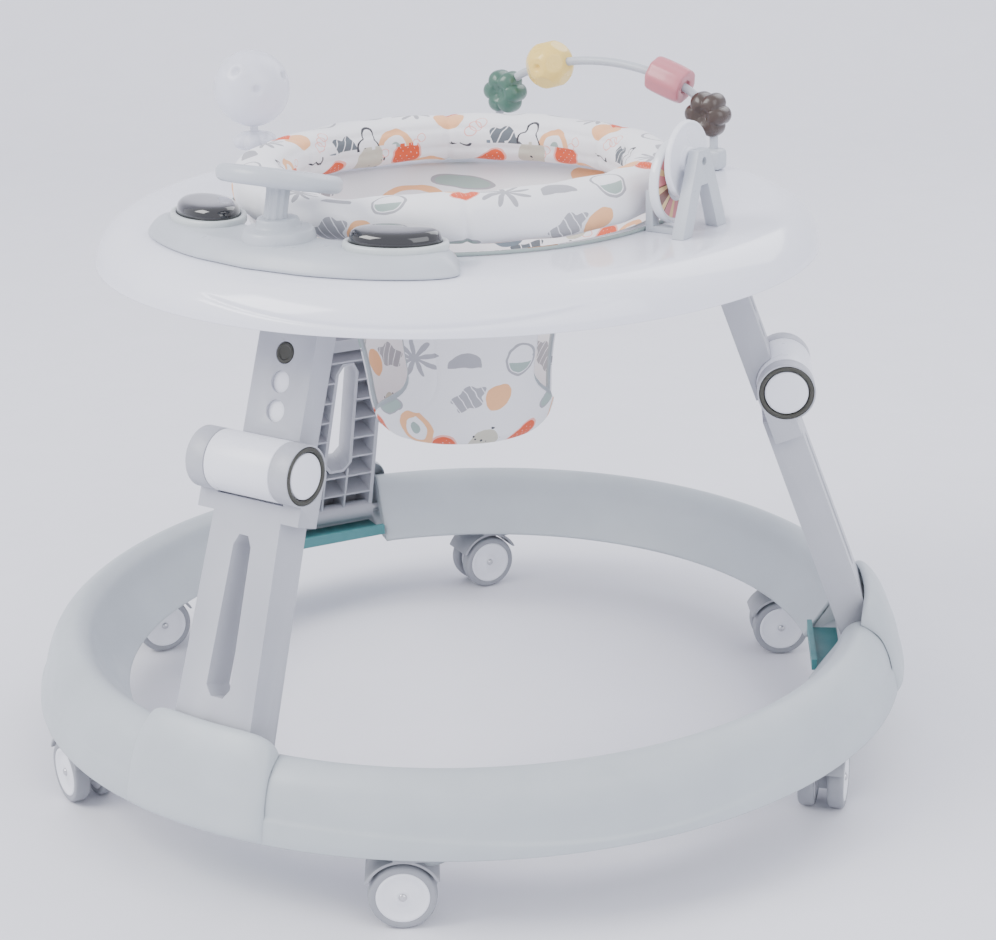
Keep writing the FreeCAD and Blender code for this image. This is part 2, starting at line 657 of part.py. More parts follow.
def post(leg, bore_play):
    """The white post in the sleeve, with the eye that hangs the tray."""
    half_depth = "(sleeve_depth / 2 - sleeve_wall - post_gap)"
    middle = "(sleeve_face + sleeve_depth / 2)"
    bar = block(
        f"{leg}_post_bar",
        "sleeve_offset - (sleeve_width / 2 - sleeve_wall - post_gap)", "barrel_radius + 6",
        f"-({middle} + {half_depth})",
        "sleeve_width - 2 * sleeve_wall - 2 * post_gap", "sleeve_top + 4 - barrel_radius - 6",
        f"2 * {half_depth}",
    )
    half_width = "(sleeve_width / 2 - sleeve_wall - post_gap)"
    eye = rod(
        f"{leg}_eye", "lug_radius", f"2 * {half_width}",
        f"sleeve_offset - {half_width}", "top_pivot_up", "top_pivot_outward", "x",
    )
    arm = block(
        f"{leg}_arm",
        f"sleeve_offset - {half_width}", "sleeve_top + 2", "-post_neck",
        f"2 * {half_width}", "top_pivot_up - sleeve_top - 2", "top_pivot_outward + post_neck",
    )
    cuts = [
        rod(
            f"{leg}_eye_bore", f"top_pin_radius + {bore_play}", "2 * sleeve_width",
            "sleeve_offset - sleeve_width", "top_pivot_up", "top_pivot_outward", "x",
        ),
        rod(
            f"{leg}_button_room", "height_hole_radius - 0.2", "7",
            "sleeve_offset", "height_hole_top", f"-({middle} - {half_depth} + 7)",
        ),
    ]
    return less(f"{leg}_post", joined(f"{leg}_post_solid", bar, eye, arm), *cuts)


for leg, azimuth in LEGS.items():
    place = leg_place(azimuth)
    finish(lower_leg(leg), f"{leg}_lower_leg", place)
    finish(sleeve(leg), f"{leg}_leg_sleeve", place)
    finish(post(leg, "top_pin_play" if leg == "front" else "open_pivot_play"), f"{leg}_leg_post", place)
    barrel = less(
        f"{leg}_barrel",
        rod(f"{leg}_barrel_outside", "barrel_radius", "barrel_length", "-barrel_length / 2", "0", "0", "x"),
        rod(
            f"{leg}_barrel_bore", "knee_pin_radius + running_gap", "barrel_length + 2",
            "-(barrel_length / 2 + 1)", "0", "0", "x",
        ),
    )
    finish(barrel, f"{leg}_knee_barrel", place)
    rings = []
    for side in (-1, 1):
        letter = "a" if side < 0 else "b"
        near = f"{CAP_END} - 6.5" if side > 0 else f"-({CAP_END} - 0.3)"
        ring_part = less(
            f"{leg}_knee_ring_{letter}",
            rod(f"{leg}_ring_outside_{letter}", "knee_ring_radius", "6.2", near, "0", "0", "x"),
            rod(f"{leg}_ring_hole_{letter}", "knee_button_radius + 0.2", "30",
                f"({near}) - 10", "0", "0", "x"),
        )
        rings.append(ring_part)
    pin = rod(
        f"{leg}_knee_pin", "knee_pin_radius", f"2 * ({CAP_START} + 5)",
        f"-({CAP_START} + 5)", "0", "0", "x",
    )
    finish(group(f"{leg}_knee_fittings", *rings, pin), f"{leg}_knee_rings_and_pin", place)
    for side in (-1, 1):
        letter = "a" if side < 0 else "b"
        start = f"{CAP_END} - 10.5 + button_travel + 0.3"
        length = "8.5 - 0.3"
        near = start if side > 0 else f"-({start} + {length})"
        button = rod(f"{leg}_button_{letter}", "knee_button_radius", length, near, "0", "0", "x")
        finish(button, f"{leg}_knee_button_{letter}", place * button.Placement)
    button = rod(
        f"{leg}_height_button", "height_hole_radius - 0.25", "sleeve_wall + 3",
        "sleeve_offset", "height_hole_top", "-(sleeve_face + sleeve_wall + 3)",
    )
    finish(button, f"{leg}_height_button", place * button.Placement)

# ---------------------------------------------------------------- tray
tray_skin = [
    ("tray_opening_radius", "tray_height - 10"),
    ("tray_opening_radius", "tray_height - 2"),
    ("tray_opening_radius + 4", "tray_height"),
    ("tray_edge_radius", "tray_height"),
    ("tray_edge_radius + 18", "tray_height - 9"),
    ("tray_rim_radius - 1", "tray_rim_height + 8"),
    ("tray_rim_radius", "tray_rim_height"),
    ("tray_rim_radius - tray_wall", "tray_rim_height"),
    ("tray_rim_radius - tray_wall - 1", "tray_rim_height + 7"),
    ("tray_edge_radius + 16", "tray_height - 9 - tray_wall"),
    ("tray_edge_radius - 1", "tray_height - tray_wall"),
    ("tray_opening_radius + 4", "tray_height - tray_wall"),
    ("tray_opening_radius + tray_wall", "tray_height - 10"),
]
finish(turned("tray_shell", tray_skin), "tray_top")

PIVOT_CHEEK = "(sleeve_width / 2 - sleeve_wall - post_gap + bracket_gap)"
brackets = []
tray_pins = []
for leg, azimuth in LEGS.items():
    place = leg_place(azimuth)
    pivot = place.multVec(Vector(0, amount("top_pivot_up"), amount("top_pivot_outward")))
    reach = math.hypot(pivot.x, pivot.y)
    bracket_place = round_z(azimuth) * Placement(Vector(0, -(reach + 24), pivot.z - 11), Rotation())
    bracket_rise = f"tray_height - tray_wall - 0.2 - {pivot.z - 11}"
    pieces = []
    for side in (-1, 1):
        letter = "a" if side < 0 else "b"
        near = f"sleeve_offset + {PIVOT_CHEEK}" if side > 0 else f"sleeve_offset - {PIVOT_CHEEK} - bracket_wall"
        cheek = block(
            f"{leg}_bracket_{letter}", near, "0", "0", "bracket_wall", "bracket_depth", bracket_rise,
        )
        pieces.append(carry(cheek, bracket_place))
    roof = block(
        f"{leg}_bracket_roof",
        f"sleeve_offset - {PIVOT_CHEEK} - bracket_wall", "0", f"{bracket_rise} - bracket_roof",
        f"2 * {PIVOT_CHEEK} + 2 * bracket_wall", "bracket_depth", "bracket_roof",
    )
    pieces.append(carry(roof, bracket_place))
    brackets.append(joined(f"{leg}_bracket", *pieces))
    span = f"2 * {PIVOT_CHEEK} + 2 * bracket_wall"
    pin = rod(
        f"{leg}_tray_pin", "top_pin_radius", f"{span} - 1",
        f"sleeve_offset - {PIVOT_CHEEK} - bracket_wall + 0.5", "top_pivot_up", "top_pivot_outward", "x",
    )
    bore = rod(
        f"{leg}_tray_pin_bore", "top_pin_radius + running_gap", f"{span} + 2",
        f"sleeve_offset - {PIVOT_CHEEK} - bracket_wall - 1", "top_pivot_up", "top_pivot_outward", "x",
    )
    carry(pin, place)
    carry(bore, place)
    tray_pins.append((pin, bore))
frame = less("brackets", group("bracket_solids", *brackets), *[bore for pin, bore in tray_pins])
finish(frame, "tray_brackets")
finish(group("tray_pins", *[pin for pin, bore in tray_pins]), "tray_pivot_pins")

# ---------------------------------------------------------------- seat
pad = turned("seat_pad", [
    ("seat_pad_inner + 4", "tray_height + 0.3"),
    ("seat_pad_outer - 2", "tray_height + 0.3"),
    ("seat_pad_outer", "tray_height + 0.28 * seat_pad_rise"),
    ("seat_pad_outer - 8", "tray_height + 0.75 * seat_pad_rise"),
    ("seat_pad_outer - 24", "tray_height + seat_pad_rise"),
    ("seat_pad_inner + 14", "tray_height + 0.92 * seat_pad_rise"),
    ("seat_pad_inner + 2", "tray_height + 0.6 * seat_pad_rise"),
    ("seat_pad_inner", "tray_height + 0.2 * seat_pad_rise"),
])
finish(pad, "seat_rim_pad")

sling_shell = turned("sling_shell", [
    ("tray_opening_radius - 5", "tray_height"),
    ("tray_opening_radius - 9", "tray_height"),
    ("seat_waist_radius - seat_cloth", "seat_waist_height"),
    ("seat_bottom_radius - seat_cloth", "seat_bottom_height + seat_cloth"),
    ("0", "seat_bottom_height + seat_cloth"),
    ("0", "seat_bottom_height"),
    ("seat_bottom_radius", "seat_bottom_height"),
    ("seat_waist_radius", "seat_waist_height - 1"),
])
openings = []
for side in (-1, 1):
    near = "crotch_width / 2" if side > 0 else "-(crotch_width / 2 + seat_waist_radius)"
    hole = block(
        f"leg_opening_{'a' if side < 0 else 'b'}",
        near, "-leg_opening_width / 2", "seat_bottom_height - 10",
        "seat_waist_radius", "leg_opening_width", "leg_opening_top - seat_bottom_height + 10",
    )
    carry(hole, round_z(amount("seat_front_azimuth")))
    openings.append(hole)
finish(less("sling", sling_shell, *openings), "seat_sling")

# ---------------------------------------------------------------- play panel
panel_place = Placement(Vector(), Rotation(Vector(0, 0, 1), amount("panel_azimuth")))
PANEL_TOP = "tray_height + 0.2 + panel_rise"
panel_body = turned("panel_body", [
    ("panel_inner_radius", "tray_height + 0.2"),
    ("panel_outer_radius", "tray_height + 0.2"),
    ("panel_outer_radius - 12", PANEL_TOP),
    ("panel_inner_radius + 3", PANEL_TOP),
], "panel_span")
wells = []
light_rings = []
dome_places = {}
for side, name in ((-1, "left"), (1, "right")):
    azimuth = amount("panel_azimuth") + side * amount("dome_spread")
    place = round_z(azimuth) * Placement(Vector(0, -amount("dome_circle"), amount(PANEL_TOP)), Rotation())
    dome_places[name] = place
    rim = dome(f"{name}_light_ring", "7", "dome_length / 2 + 4", "dome_width / 2 + 4", "0", "0", "0")
    carry(rim, place)
    well = dome(f"{name}_well", "300", "dome_length / 2 + 1.4", "dome_width / 2 + 1.4", "0", "0", "0")
    carry(well, place * Placement(Vector(0, 0, -amount("dome_travel") - 3), Rotation()))
    light_rings.append(rim)
    wells.append(well)
panel_body.Placement = panel_place
steer_turn = round_z(amount("panel_azimuth"))
steer_axis = Rotation(Vector(1, 0, 0), -amount("steering_tilt"))
steer_centre = Vector(0, -amount("steering_circle"), amount("steering_height"))
foot = joined(
    "steering_foot",
    taper("foot_low", "26", "24", "8", "0", "-(steering_circle + 4)", PANEL_TOP + " - 1"),
    taper("foot_high", "17", "15", "9", "0", "-(steering_circle + 4)", PANEL_TOP + " + 6"),
)
foot.Placement = steer_turn
stem_bore = rod("steering_bore", "7 + running_gap", "26", "0", "0", "-36")
carry(stem_bore, steer_turn * Placement(steer_centre, steer_axis))
panel = less("panel", joined("panel_solid", panel_body, foot, *light_rings), stem_bore, *wells)
finish(panel, "play_panel")
for name, place in dome_places.items():
    cap = dome(
        f"{name}_dome", "dome_rise", "dome_length / 2", "dome_width / 2", "0", "0", "0",
    )
    finish(cap, f"{name}_push_dome", place * Placement(Vector(0, 0, 2.5), Rotation()))

# ---------------------------------------------------------------- steering wheel
rim = torus("steering_rim_ring", "steering_radius - steering_rim", "steering_rim", "0", "0", "0")
spokes = [
    block("steering_spoke_across", "-(steering_radius - steering_rim)", "-6", "-4",
          "2 * (steering_radius - steering_rim)", "12", "8"),
    block("steering_spoke_down", "-7", "-(steering_radius - steering_rim)", "-4",
          "14", "steering_radius - steering_rim", "8"),
]
hub = rod("steering_hub", "15", "11", "0", "0", "-5.5")
column = rod("steering_column", "7", "30", "0", "0", "-34")
wheel = joined("steering", rim, *spokes, hub, column)
finish(wheel, "steering_wheel", steer_turn * Placement(steer_centre, steer_axis))

# ---------------------------------------------------------------- rattle ball
ball_place = Placement(Vector(-amount("ball_circle"), 0, 0), Rotation())
ball_foot = joined(
    "rattle_foot_solid",
    taper("rattle_foot_low", "22", "17", "9", "0", "0", "tray_height + 0.2"),
    taper("rattle_foot_high", "13", "9", "6", "0", "0", "tray_height + 9"),
    rod("rattle_rod", "3", "ball_height - tray_height - ball_radius / 2 + 8", "0", "0", "tray_height + 4"),
)
finish(ball_foot, "rattle_post", ball_place)
rattle = less(
    "rattle",
    ball("rattle_outside", "ball_radius", "0", "0", "ball_height"),
    rod("rattle_bore", "3.3", "ball_radius * 1.7", "0", "0", "ball_height - ball_radius - 1"),
    rod("rattle_hole_x", "3", "2 * ball_radius + 4", "-(ball_radius + 2)", "0", "ball_height", "x"),
)
finish(rattle, "rattle_ball", ball_place)


def petals(name, count, kind, axis):
    """Round petals about a middle, as one thick flower."""
    reach, thick, under = f"{kind}_reach", f"{kind}_thickness", f"-({kind}_thickness / 2)"
    items = [rod(f"{name}_middle", reach, thick, "0", "0", under)]
    for number in range(count):
        turn = 2 * math.pi * number / count
        x, y = f"{reach} * {math.cos(turn):.6f}", f"{reach} * {math.sin(turn):.6f}"
        items.append(rod(f"{name}_petal_{number}", f"{kind}_petal", thick, x, y, under))
    flower = joined(f"{name}_solid", *items)
    flower.Placement = Placement(Vector(), axis)
    return flower


small_flower = less(
    "small_flower",
    petals("small", 6, "small", Rotation()),
    rod("small_bore", "3.3", "40", "0", "0", "-20"),
)
small_height = amount("ball_height - ball_radius - small_drop")
finish(small_flower, "clear_flower_bead", ball_place * Placement(Vector(0, 0, small_height), Rotation()))

# ---------------------------------------------------------------- bead arch, in its own plane: X along it
arch_place = Placement(
    Vector(amount("arch_aside"), amount("arch_distance"), 0), Rotation(Vector(0, 0, 1), amount("arch_turn"))
)
rise = amount("arch_top - arch_spring")
corner = amount("arch_corner")
half_flat = amount("arch_half_span - arch_corner")
crown = (half_flat ** 2 + rise ** 2 - corner ** 2) / (2 * (rise - corner))
crown_height = amount("arch_top") - crown
meet = math.degrees(math.atan2(amount("arch_spring") - crown_height, half_flat))
upright = Rotation(Vector(1, 0, 0), 90)


def arc(name, radius, x, z, start, sweep):
    """A bent length of tube in the arch's plane, its angles measured from +X towards +Z."""
    item = doc.addObject("Part::Torus", name)
    item.Radius1 = radius
    item.setExpression("Radius2", sized("arch_tube_radius"))
    item.Angle3 = sweep
    item.Placement = Placement(Vector(x, 0, z), upright * Rotation(Vector(0, 0, 1), start))
    return item


tube_pieces = [
    arc("arch_crown", crown, 0, crown_height, meet, 180 - 2 * meet),
    arc("arch_bend_right", corner, half_flat, amount("arch_spring"), 0, meet),
    arc("arch_bend_left", corner, -half_flat, amount("arch_spring"), 180 - meet, meet),
]
feet = []
for side in (-1, 1):
    letter = "a" if side < 0 else "b"
    tube_pieces.append(rod(
        f"arch_leg_{letter}", "arch_tube_radius", "arch_spring - tray_height - 4",
        f"{side} * arch_half_span", "0", "tray_height + 4",
    ))
    foot_block = less(
        f"arch_foot_{letter}",
        block(
            f"arch_foot_block_{letter}", f"{side} * arch_half_span - 9", "-8", "tray_height + 0.2",
            "18", "16", "17",
        ),
        rod(
            f"arch_foot_bore_{letter}", "arch_tube_radius", "arch_spring - tray_height",
            f"{side} * arch_half_span", "0", "tray_height + 4",
        ),
    )
    feet.append(foot_block)
finish(group("arch_with_feet", joined("arch_tube", *tube_pieces), *feet), "bead_arch", arch_place)


def on_arch(angle_size, on_crown=True, side=1):
    """Place on the tube's centre line, X along the tube."""
    angle = amount(angle_size)
    turn = math.radians(angle)
    if on_crown:
        spot = Vector(crown * math.cos(turn), 0, crown_height + crown * math.sin(turn))
    else:
        spot = Vector(
            side * half_flat + corner * math.cos(turn), 0,
            amount("arch_spring") + corner * math.sin(turn),
        )
    return arch_place * Placement(spot, Rotation(Vector(0, 1, 0), 90 - angle))


across = Rotation(Vector(1, 0, 0), 90)
brown = less(
    "brown_flower", petals("brown", 5, "flower", across),
    rod("brown_bore_tool", "bend_bead_bore", "60", "-30", "0", "0", "x"),
)
finish(brown, "brown_flower_bead", on_arch("brown_bead_angle", False, 1))
green = less(
    "green_flower", petals("green", 5, "flower", across),
    rod("green_bore_tool", "bend_bead_bore", "60", "-30", "0", "0", "x"),
)
finish(green, "green_flower_bead", on_arch("green_bead_angle", False, -1))
cylinder_bead = less(
    "pink_cylinder",
    rod("pink_outside", "pink_bead_radius", "pink_bead_length", "-(pink_bead_length / 2)", "0", "0", "x"),
    rod("pink_bore_tool", "bead_bore", "60", "-30", "0", "0", "x"),
)
finish(cylinder_bead, "pink_cylinder_bead", on_arch("pink_bead_angle"))
yellow = less(
    "yellow_ball", ball("yellow_outside", "yellow_bead_radius", "0", "0", "0"),
    rod("yellow_bore_tool", "bead_bore", "60", "-30", "0", "0", "x"),
)
finish(yellow, "yellow_ball_bead", on_arch("yellow_bead_angle"))

# ---------------------------------------------------------------- spinner
spin_place = Placement(Vector(amount("spinner_distance"), amount("spinner_offset"), 0), Rotation())
frame_outside = doc.addObject("Part::Wedge", "stand_outside")
stand_rise = amount("spinner_height - tray_height") + 8
frame_outside.Xmin, frame_outside.Xmax = -5, 5
frame_outside.Zmin, frame_outside.Zmax = -32, 32
frame_outside.Ymin, frame_outside.Ymax = 0, stand_rise
frame_outside.X2min, frame_outside.X2max = -4, 4
frame_outside.Z2min, frame_outside.Z2max = -8, 8
frame_outside.Placement = Placement(Vector(0, 0, amount("tray_height + 0.2")), Rotation(Vector(1, 0, 0), 90))
arch_gap = doc.addObject("Part::Wedge", "stand_gap")
arch_gap.Xmin, arch_gap.Xmax = -8, 8
arch_gap.Zmin, arch_gap.Zmax = -19, 19
arch_gap.Ymin, arch_gap.Ymax = 0, stand_rise - 24
arch_gap.X2min, arch_gap.X2max = -8, 8
arch_gap.Z2min, arch_gap.Z2max = -5, 5
arch_gap.Placement = Placement(Vector(0, 0, amount("tray_height - 1")), Rotation(Vector(1, 0, 0), 90))
inner_post = joined(
    "inner_post",
    block("inner_post_bar", "-34", "-19", "tray_height + 0.2", "6", "9", "picture_height - tray_height - 6"),
    block("inner_post_base", "-34", "-19", "tray_height + 0.2", "30", "9", "4"),
    block("inner_post_arm", "-34", "-19", "picture_height - 10", "6", "23", "4"),
    rod("inner_post_eye", "7", "6", "-34", "0", "picture_height", "x"),
)
stand = less(
    "stand", joined("stand_solid", frame_outside, inner_post), arch_gap,
    rod("stand_axle_bore", "spinner_axle_radius + running_gap", "20", "-10", "0", "spinner_height", "x"),
    rod("stand_picture_bore", "spinner_axle_radius + running_gap", "20", "-38", "0", "picture_height", "x"),
)
finish(stand, "spinner_stand", spin_place)
white_disc = joined(
    "white_disc",
    rod("white_disc_plate", "white_disc_radius", "4", "-13", "0", "spinner_height", "x"),
    rod("white_disc_hub", "9", "6", "-12", "0", "spinner_height", "x"),
    rod("white_disc_axle", "spinner_axle_radius", "18", "-12", "0", "spinner_height", "x"),
)
finish(white_disc, "white_spinner_disc", spin_place)
picture_disc = joined(
    "picture_disc",
    rod("picture_disc_plate", "picture_disc_radius", "7", "-24", "0", "picture_height", "x"),
    rod("picture_disc_axle", "spinner_axle_radius", "13", "-34.5", "0", "picture_height", "x"),
)
finish(picture_disc, "picture_spinner_disc", spin_place)

# ---------------------------------------------------------------- check and write
doc.recompute()
broken = [item.Name for item in doc.Objects if {"Invalid", "Error"} & set(item.State)]
if broken:
    raise RuntimeError(f"these objects failed: {broken}")
for item in sub_parts:
    if item.Shape.isNull() or not item.Shape.isValid():
        raise RuntimeError(f"{item.Label} has no valid shape")
    item.Shape.exportStep(f"parts/{item.Label}.step")
    print(f"{item.Label}: {len(item.Shape.Solids)} solids, {item.Shape.Volume / 1000:.1f} cm3")
print(f"{len(sub_parts)} sub-parts")
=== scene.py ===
# %% [markdown]
# # A folding baby walker, dressed for its portrait
# The mechanical model of the walker is already made: ring, legs, tray, toys and every joint. This lesson
# loads it and gives each piece the form and the finish that a hand would find on the real thing. Most
# pieces are surfaces worked out from a formula, because a formula is easy to read and to change.

# %% Load the mechanical frame
import json
import bmesh
import bpy
import numpy as np
from mathutils import Matrix, Vector


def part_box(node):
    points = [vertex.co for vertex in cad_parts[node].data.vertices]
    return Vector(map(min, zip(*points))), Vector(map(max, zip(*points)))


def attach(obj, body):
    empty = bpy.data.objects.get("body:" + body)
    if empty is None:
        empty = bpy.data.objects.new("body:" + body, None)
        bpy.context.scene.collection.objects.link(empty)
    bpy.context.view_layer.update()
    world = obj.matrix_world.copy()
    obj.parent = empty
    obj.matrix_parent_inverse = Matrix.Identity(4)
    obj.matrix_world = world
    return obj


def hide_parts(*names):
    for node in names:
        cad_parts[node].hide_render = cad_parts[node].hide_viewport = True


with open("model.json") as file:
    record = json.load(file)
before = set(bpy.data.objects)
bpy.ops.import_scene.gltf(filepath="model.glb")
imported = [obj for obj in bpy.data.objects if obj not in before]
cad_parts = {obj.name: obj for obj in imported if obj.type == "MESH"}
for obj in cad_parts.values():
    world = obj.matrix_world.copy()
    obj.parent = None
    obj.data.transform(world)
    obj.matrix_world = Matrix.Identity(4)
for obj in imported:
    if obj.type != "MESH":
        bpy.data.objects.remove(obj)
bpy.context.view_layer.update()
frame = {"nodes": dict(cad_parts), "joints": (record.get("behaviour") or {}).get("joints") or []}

joints = {joint["name"]: joint for joint in frame["joints"]}

# %% [markdown]
# ## Small tools for surfaces
# A surface is a grid of points, rows by columns. Blender wants a list of points and a list of faces, so
# one helper turns any grid into quads and another one gives it to a mesh. All angles are in radians, and
# a length in millimetres is written with MM so that sizes read as they would on a drawing.

# %% Grids, meshes and places
MM = 0.001
TAU = 2 * np.pi


def quads(rows, columns, wrap_rows, wrap_columns):
    """Corner numbers of every quad of a grid: point (i, j) has the number i * columns + j."""
    i = np.arange(rows if wrap_rows else rows - 1)
    j = np.arange(columns if wrap_columns else columns - 1)
    i, j = (part.ravel() for part in np.meshgrid(i, j, indexing="ij"))
    down, along = (i + 1) % rows, (j + 1) % columns
    return np.stack([i * columns + j, down * columns + j, down * columns + along, i * columns + along], 1)


def mesh_object(name, points, faces, fix_normals=True):
    """A mesh from points (n, 3) and faces; its normals are recalculated to point outwards."""
    mesh = bpy.data.meshes.new(name)
    mesh.from_pydata(points.tolist(), [], [list(map(int, face)) for face in faces])
    if fix_normals:
        form = bmesh.new()
        form.from_mesh(mesh)
        bmesh.ops.remove_doubles(form, verts=form.verts, dist=1e-6)
        bmesh.ops.recalc_face_normals(form, faces=form.faces)
        form.to_mesh(mesh)
        form.free()
    mesh.shade_smooth()
    item = bpy.data.objects.new(name, mesh)
    bpy.context.scene.collection.objects.link(item)
    return item


def round_grid(radius, angle, height):
    """Points x = r cos a, y = r sin a and a height, for arrays that combine to rows by columns."""
    return np.stack([radius * np.cos(angle), radius * np.sin(angle), height + 0 * angle], -1)


def skin(grid, wrap_rows=False, wrap_columns=True, start_cap=False, end_cap=False):
    """Points and faces of a grid (rows, columns, 3); a cap closes the first or last row with a fan."""
    rows, columns = grid.shape[:2]
    points = grid.reshape(-1, 3)
    faces = quads(rows, columns, wrap_rows, wrap_columns).tolist()
    for wanted, row in ((start_cap, 0), (end_cap, rows - 1)):
        if wanted:
            hub = len(points)
            points = np.vstack([points, grid[row].mean(0)])
            ring = row * columns + np.arange(columns)
            faces += np.stack([ring, np.roll(ring, -1), np.full(columns, hub)], 1).tolist()
    return points, faces


def together(*parts):
    """Several (points, faces) pairs as one."""
    points, faces, first = [], [], 0
    for some_points, some_faces in parts:
        points.append(some_points)
        faces += [[first + number for number in face] for face in some_faces]
        first += len(some_points)
    return np.vstack(points), faces


def placed(part, matrix):
    """A (points, faces) pair carried by a 4 by 4 matrix."""
    points, faces = part
    matrix = np.array(matrix)
    return points @ matrix[:3, :3].T + matrix[:3, 3], faces


def axes_at(origin, x_axis, y_axis):
    """The matrix whose frame has this origin, this X and a Y as near as can be to the one given."""
    x_axis = Vector(x_axis).normalized()
    z_axis = x_axis.cross(Vector(y_axis)).normalized()
    y_axis = z_axis.cross(x_axis)
    matrix = Matrix((x_axis, y_axis, z_axis)).transposed().to_4x4()
    matrix.translation = Vector(origin)
    return matrix


def along_axis(origin, axis):
    """A frame whose Z runs along an axis."""
    axis = Vector(axis).normalized()
    helper = Vector((0, 0, 1)) if abs(axis.z) < 0.9 else Vector((1, 0, 0))
    x_axis = helper.cross(axis).normalized()
    return axes_at(origin, x_axis, axis.cross(x_axis))


def smooth_line(corners, steps=8, closed=False):
    """A Catmull-Rom curve: between two corners each point is a cubic of the four nearest corners."""
    corners = np.asarray(corners, float)
    if closed:
        spots = np.vstack([corners[-1], corners, corners[:2]])
    else:
        spots = np.vstack([2 * corners[0] - corners[1], corners, 2 * corners[-1] - corners[-2]])
    share = np.linspace(0, 1, steps, endpoint=False)[:, None]
    a, b, c, d = (spots[k:len(spots) - 3 + k][:, None] for k in range(4))
    curve = 0.5 * (2 * b + (c - a) * share + (2 * a - 5 * b + 4 * c - d) * share ** 2
                   + (3 * b - a - 3 * c + d) * share ** 3)
    curve = curve.reshape(-1, corners.shape[1])
    return curve if closed else np.vstack([curve, corners[-1]])


def lathe(profile, steps=64, closed=False):
    """A profile of (radius, height) turned round Z: x = r cos a, y = r sin a. Rows are the profile's
    points, so a profile that starts or ends near the axis is capped there."""
    profile = np.asarray(profile, float)
    angle = np.linspace(0, TAU, steps, endpoint=False)
    radius, height = profile[:, :1], profile[:, 1:]
    grid = round_grid(radius, angle, height)
    return skin(grid, wrap_rows=closed, start_cap=not closed, end_cap=not closed)


def pipe(path, radius, steps=16, closed=False):
    """A round tube along a path: at each point a circle of the given radius across the path."""
    path = np.asarray(path, float)
    if closed:
        ahead = np.roll(path, -1, 0) - np.roll(path, 1, 0)
    else:
        ahead = np.gradient(path, axis=0)
    ahead /= np.linalg.norm(ahead, axis=1)[:, None]
    normal = np.linalg.svd(path - path.mean(0))[2][2]
    side = np.cross(ahead, normal)
    side /= np.linalg.norm(side, axis=1)[:, None]
    lift = np.cross(side, ahead)
    angle = np.linspace(0, TAU, steps, endpoint=False)
    radius = np.broadcast_to(radius, len(path))[:, None, None]
    grid = path[:, None] + radius * (
        np.cos(angle)[None, :, None] * side[:, None] + np.sin(angle)[None, :, None] * lift[:, None])
    return skin(grid, wrap_rows=closed, start_cap=not closed, end_cap=not closed)


def step_between(low, high, value):
    """0 below low, 1 above high, and 3t^2 - 2t^3 between them."""
    share = np.clip((value - low) / (high - low), 0, 1)
    return share * share * (3 - 2 * share)


made = []


def piece(name, part, material, body, slot, *nodes):
    """A finished piece: its mesh, its finish, the body it rides on and the nodes it stands for."""
    item = part if isinstance(part, bpy.types.Object) else mesh_object(name, *part)
    item.data.materials.clear()
    item.data.materials.append(material)
    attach(item, body)
    if nodes:
        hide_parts(*nodes)
    made.append(item)
    return item


# %% [markdown]
# ## Plastics
# Moulded plastic is never one flat colour: the tool leaves a fine grain, thick places cool a shade apart
# and handling polishes some patches. Three noises on object coordinates give that: a broad one for the
# shade, a middle one for the roughness and a fine one for the grain. Values that are the same all over
# sit on the shader itself.

# %% A maker of plastic finishes
def noise(tree, vector, scale, detail=3.0, roughness=0.5):
    node = tree.nodes.new("ShaderNodeTexNoise")
    node.inputs["Scale"].default_value = scale
    node.inputs["Detail"].default_value = detail
    node.inputs["Roughness"].default_value = roughness
    tree.links.new(vector, node.inputs["Vector"])
    return node.outputs["Fac"]


def spread(tree, value, low, high):
    """A value near one half opened out to a range."""
    node = tree.nodes.new("ShaderNodeMapRange")
    node.inputs["From Min"].default_value = 0.3
    node.inputs["From Max"].default_value = 0.7
    node.inputs["To Min"].default_value = low
    node.inputs["To Max"].default_value = high
    tree.links.new(value, node.inputs["Value"])
    return node.outputs["Result"]


def blend_colours(tree, share, first, second):
    node = tree.nodes.new("ShaderNodeMix")
    node.data_type = "RGBA"
    for socket, value in ((node.inputs[0], share), (node.inputs[6], first), (node.inputs[7], second)):
        if isinstance(value, bpy.types.NodeSocket):
            tree.links.new(value, socket)
        elif isinstance(value, (int, float)):
            socket.default_value = value
        else:
            socket.default_value = (*value[:3], 1)
    return node.outputs[2]


def plastic(name, colour, rough, shade=0.05, grain=0.05, grain_size=900, **sockets):
    """Plastic of a colour whose shade, gloss and grain vary a little."""
    finish = bpy.data.materials.new(name)
    finish.use_nodes = True
    tree = finish.node_tree
    shader = tree.nodes["Principled BSDF"]
    where = tree.nodes.new("ShaderNodeTexCoord").outputs["Object"]
    colour = np.array(colour)
    broad = spread(tree, noise(tree, where, 14, 4), 0, 1)
    mixed = blend_colours(tree, broad, colour * (1 - shade), np.minimum(colour * (1 + shade), 1))
    tree.links.new(mixed, shader.inputs["Base Color"])
    gloss = spread(tree, noise(tree, where, 55, 5), rough * 0.8, rough * 1.2)
    tree.links.new(gloss, shader.inputs["Roughness"])
    bump = tree.nodes.new("ShaderNodeBump")
    bump.inputs["Strength"].default_value = grain
    bump.inputs["Distance"].default_value = 0.0004
    tree.links.new(noise(tree, where, grain_size, 2), bump.inputs["Height"])
    tree.links.new(bump.outputs["Normal"], shader.inputs["Normal"])
    for socket, value in sockets.items():
        shader.inputs[socket.replace("_", " ")].default_value = value
    return finish


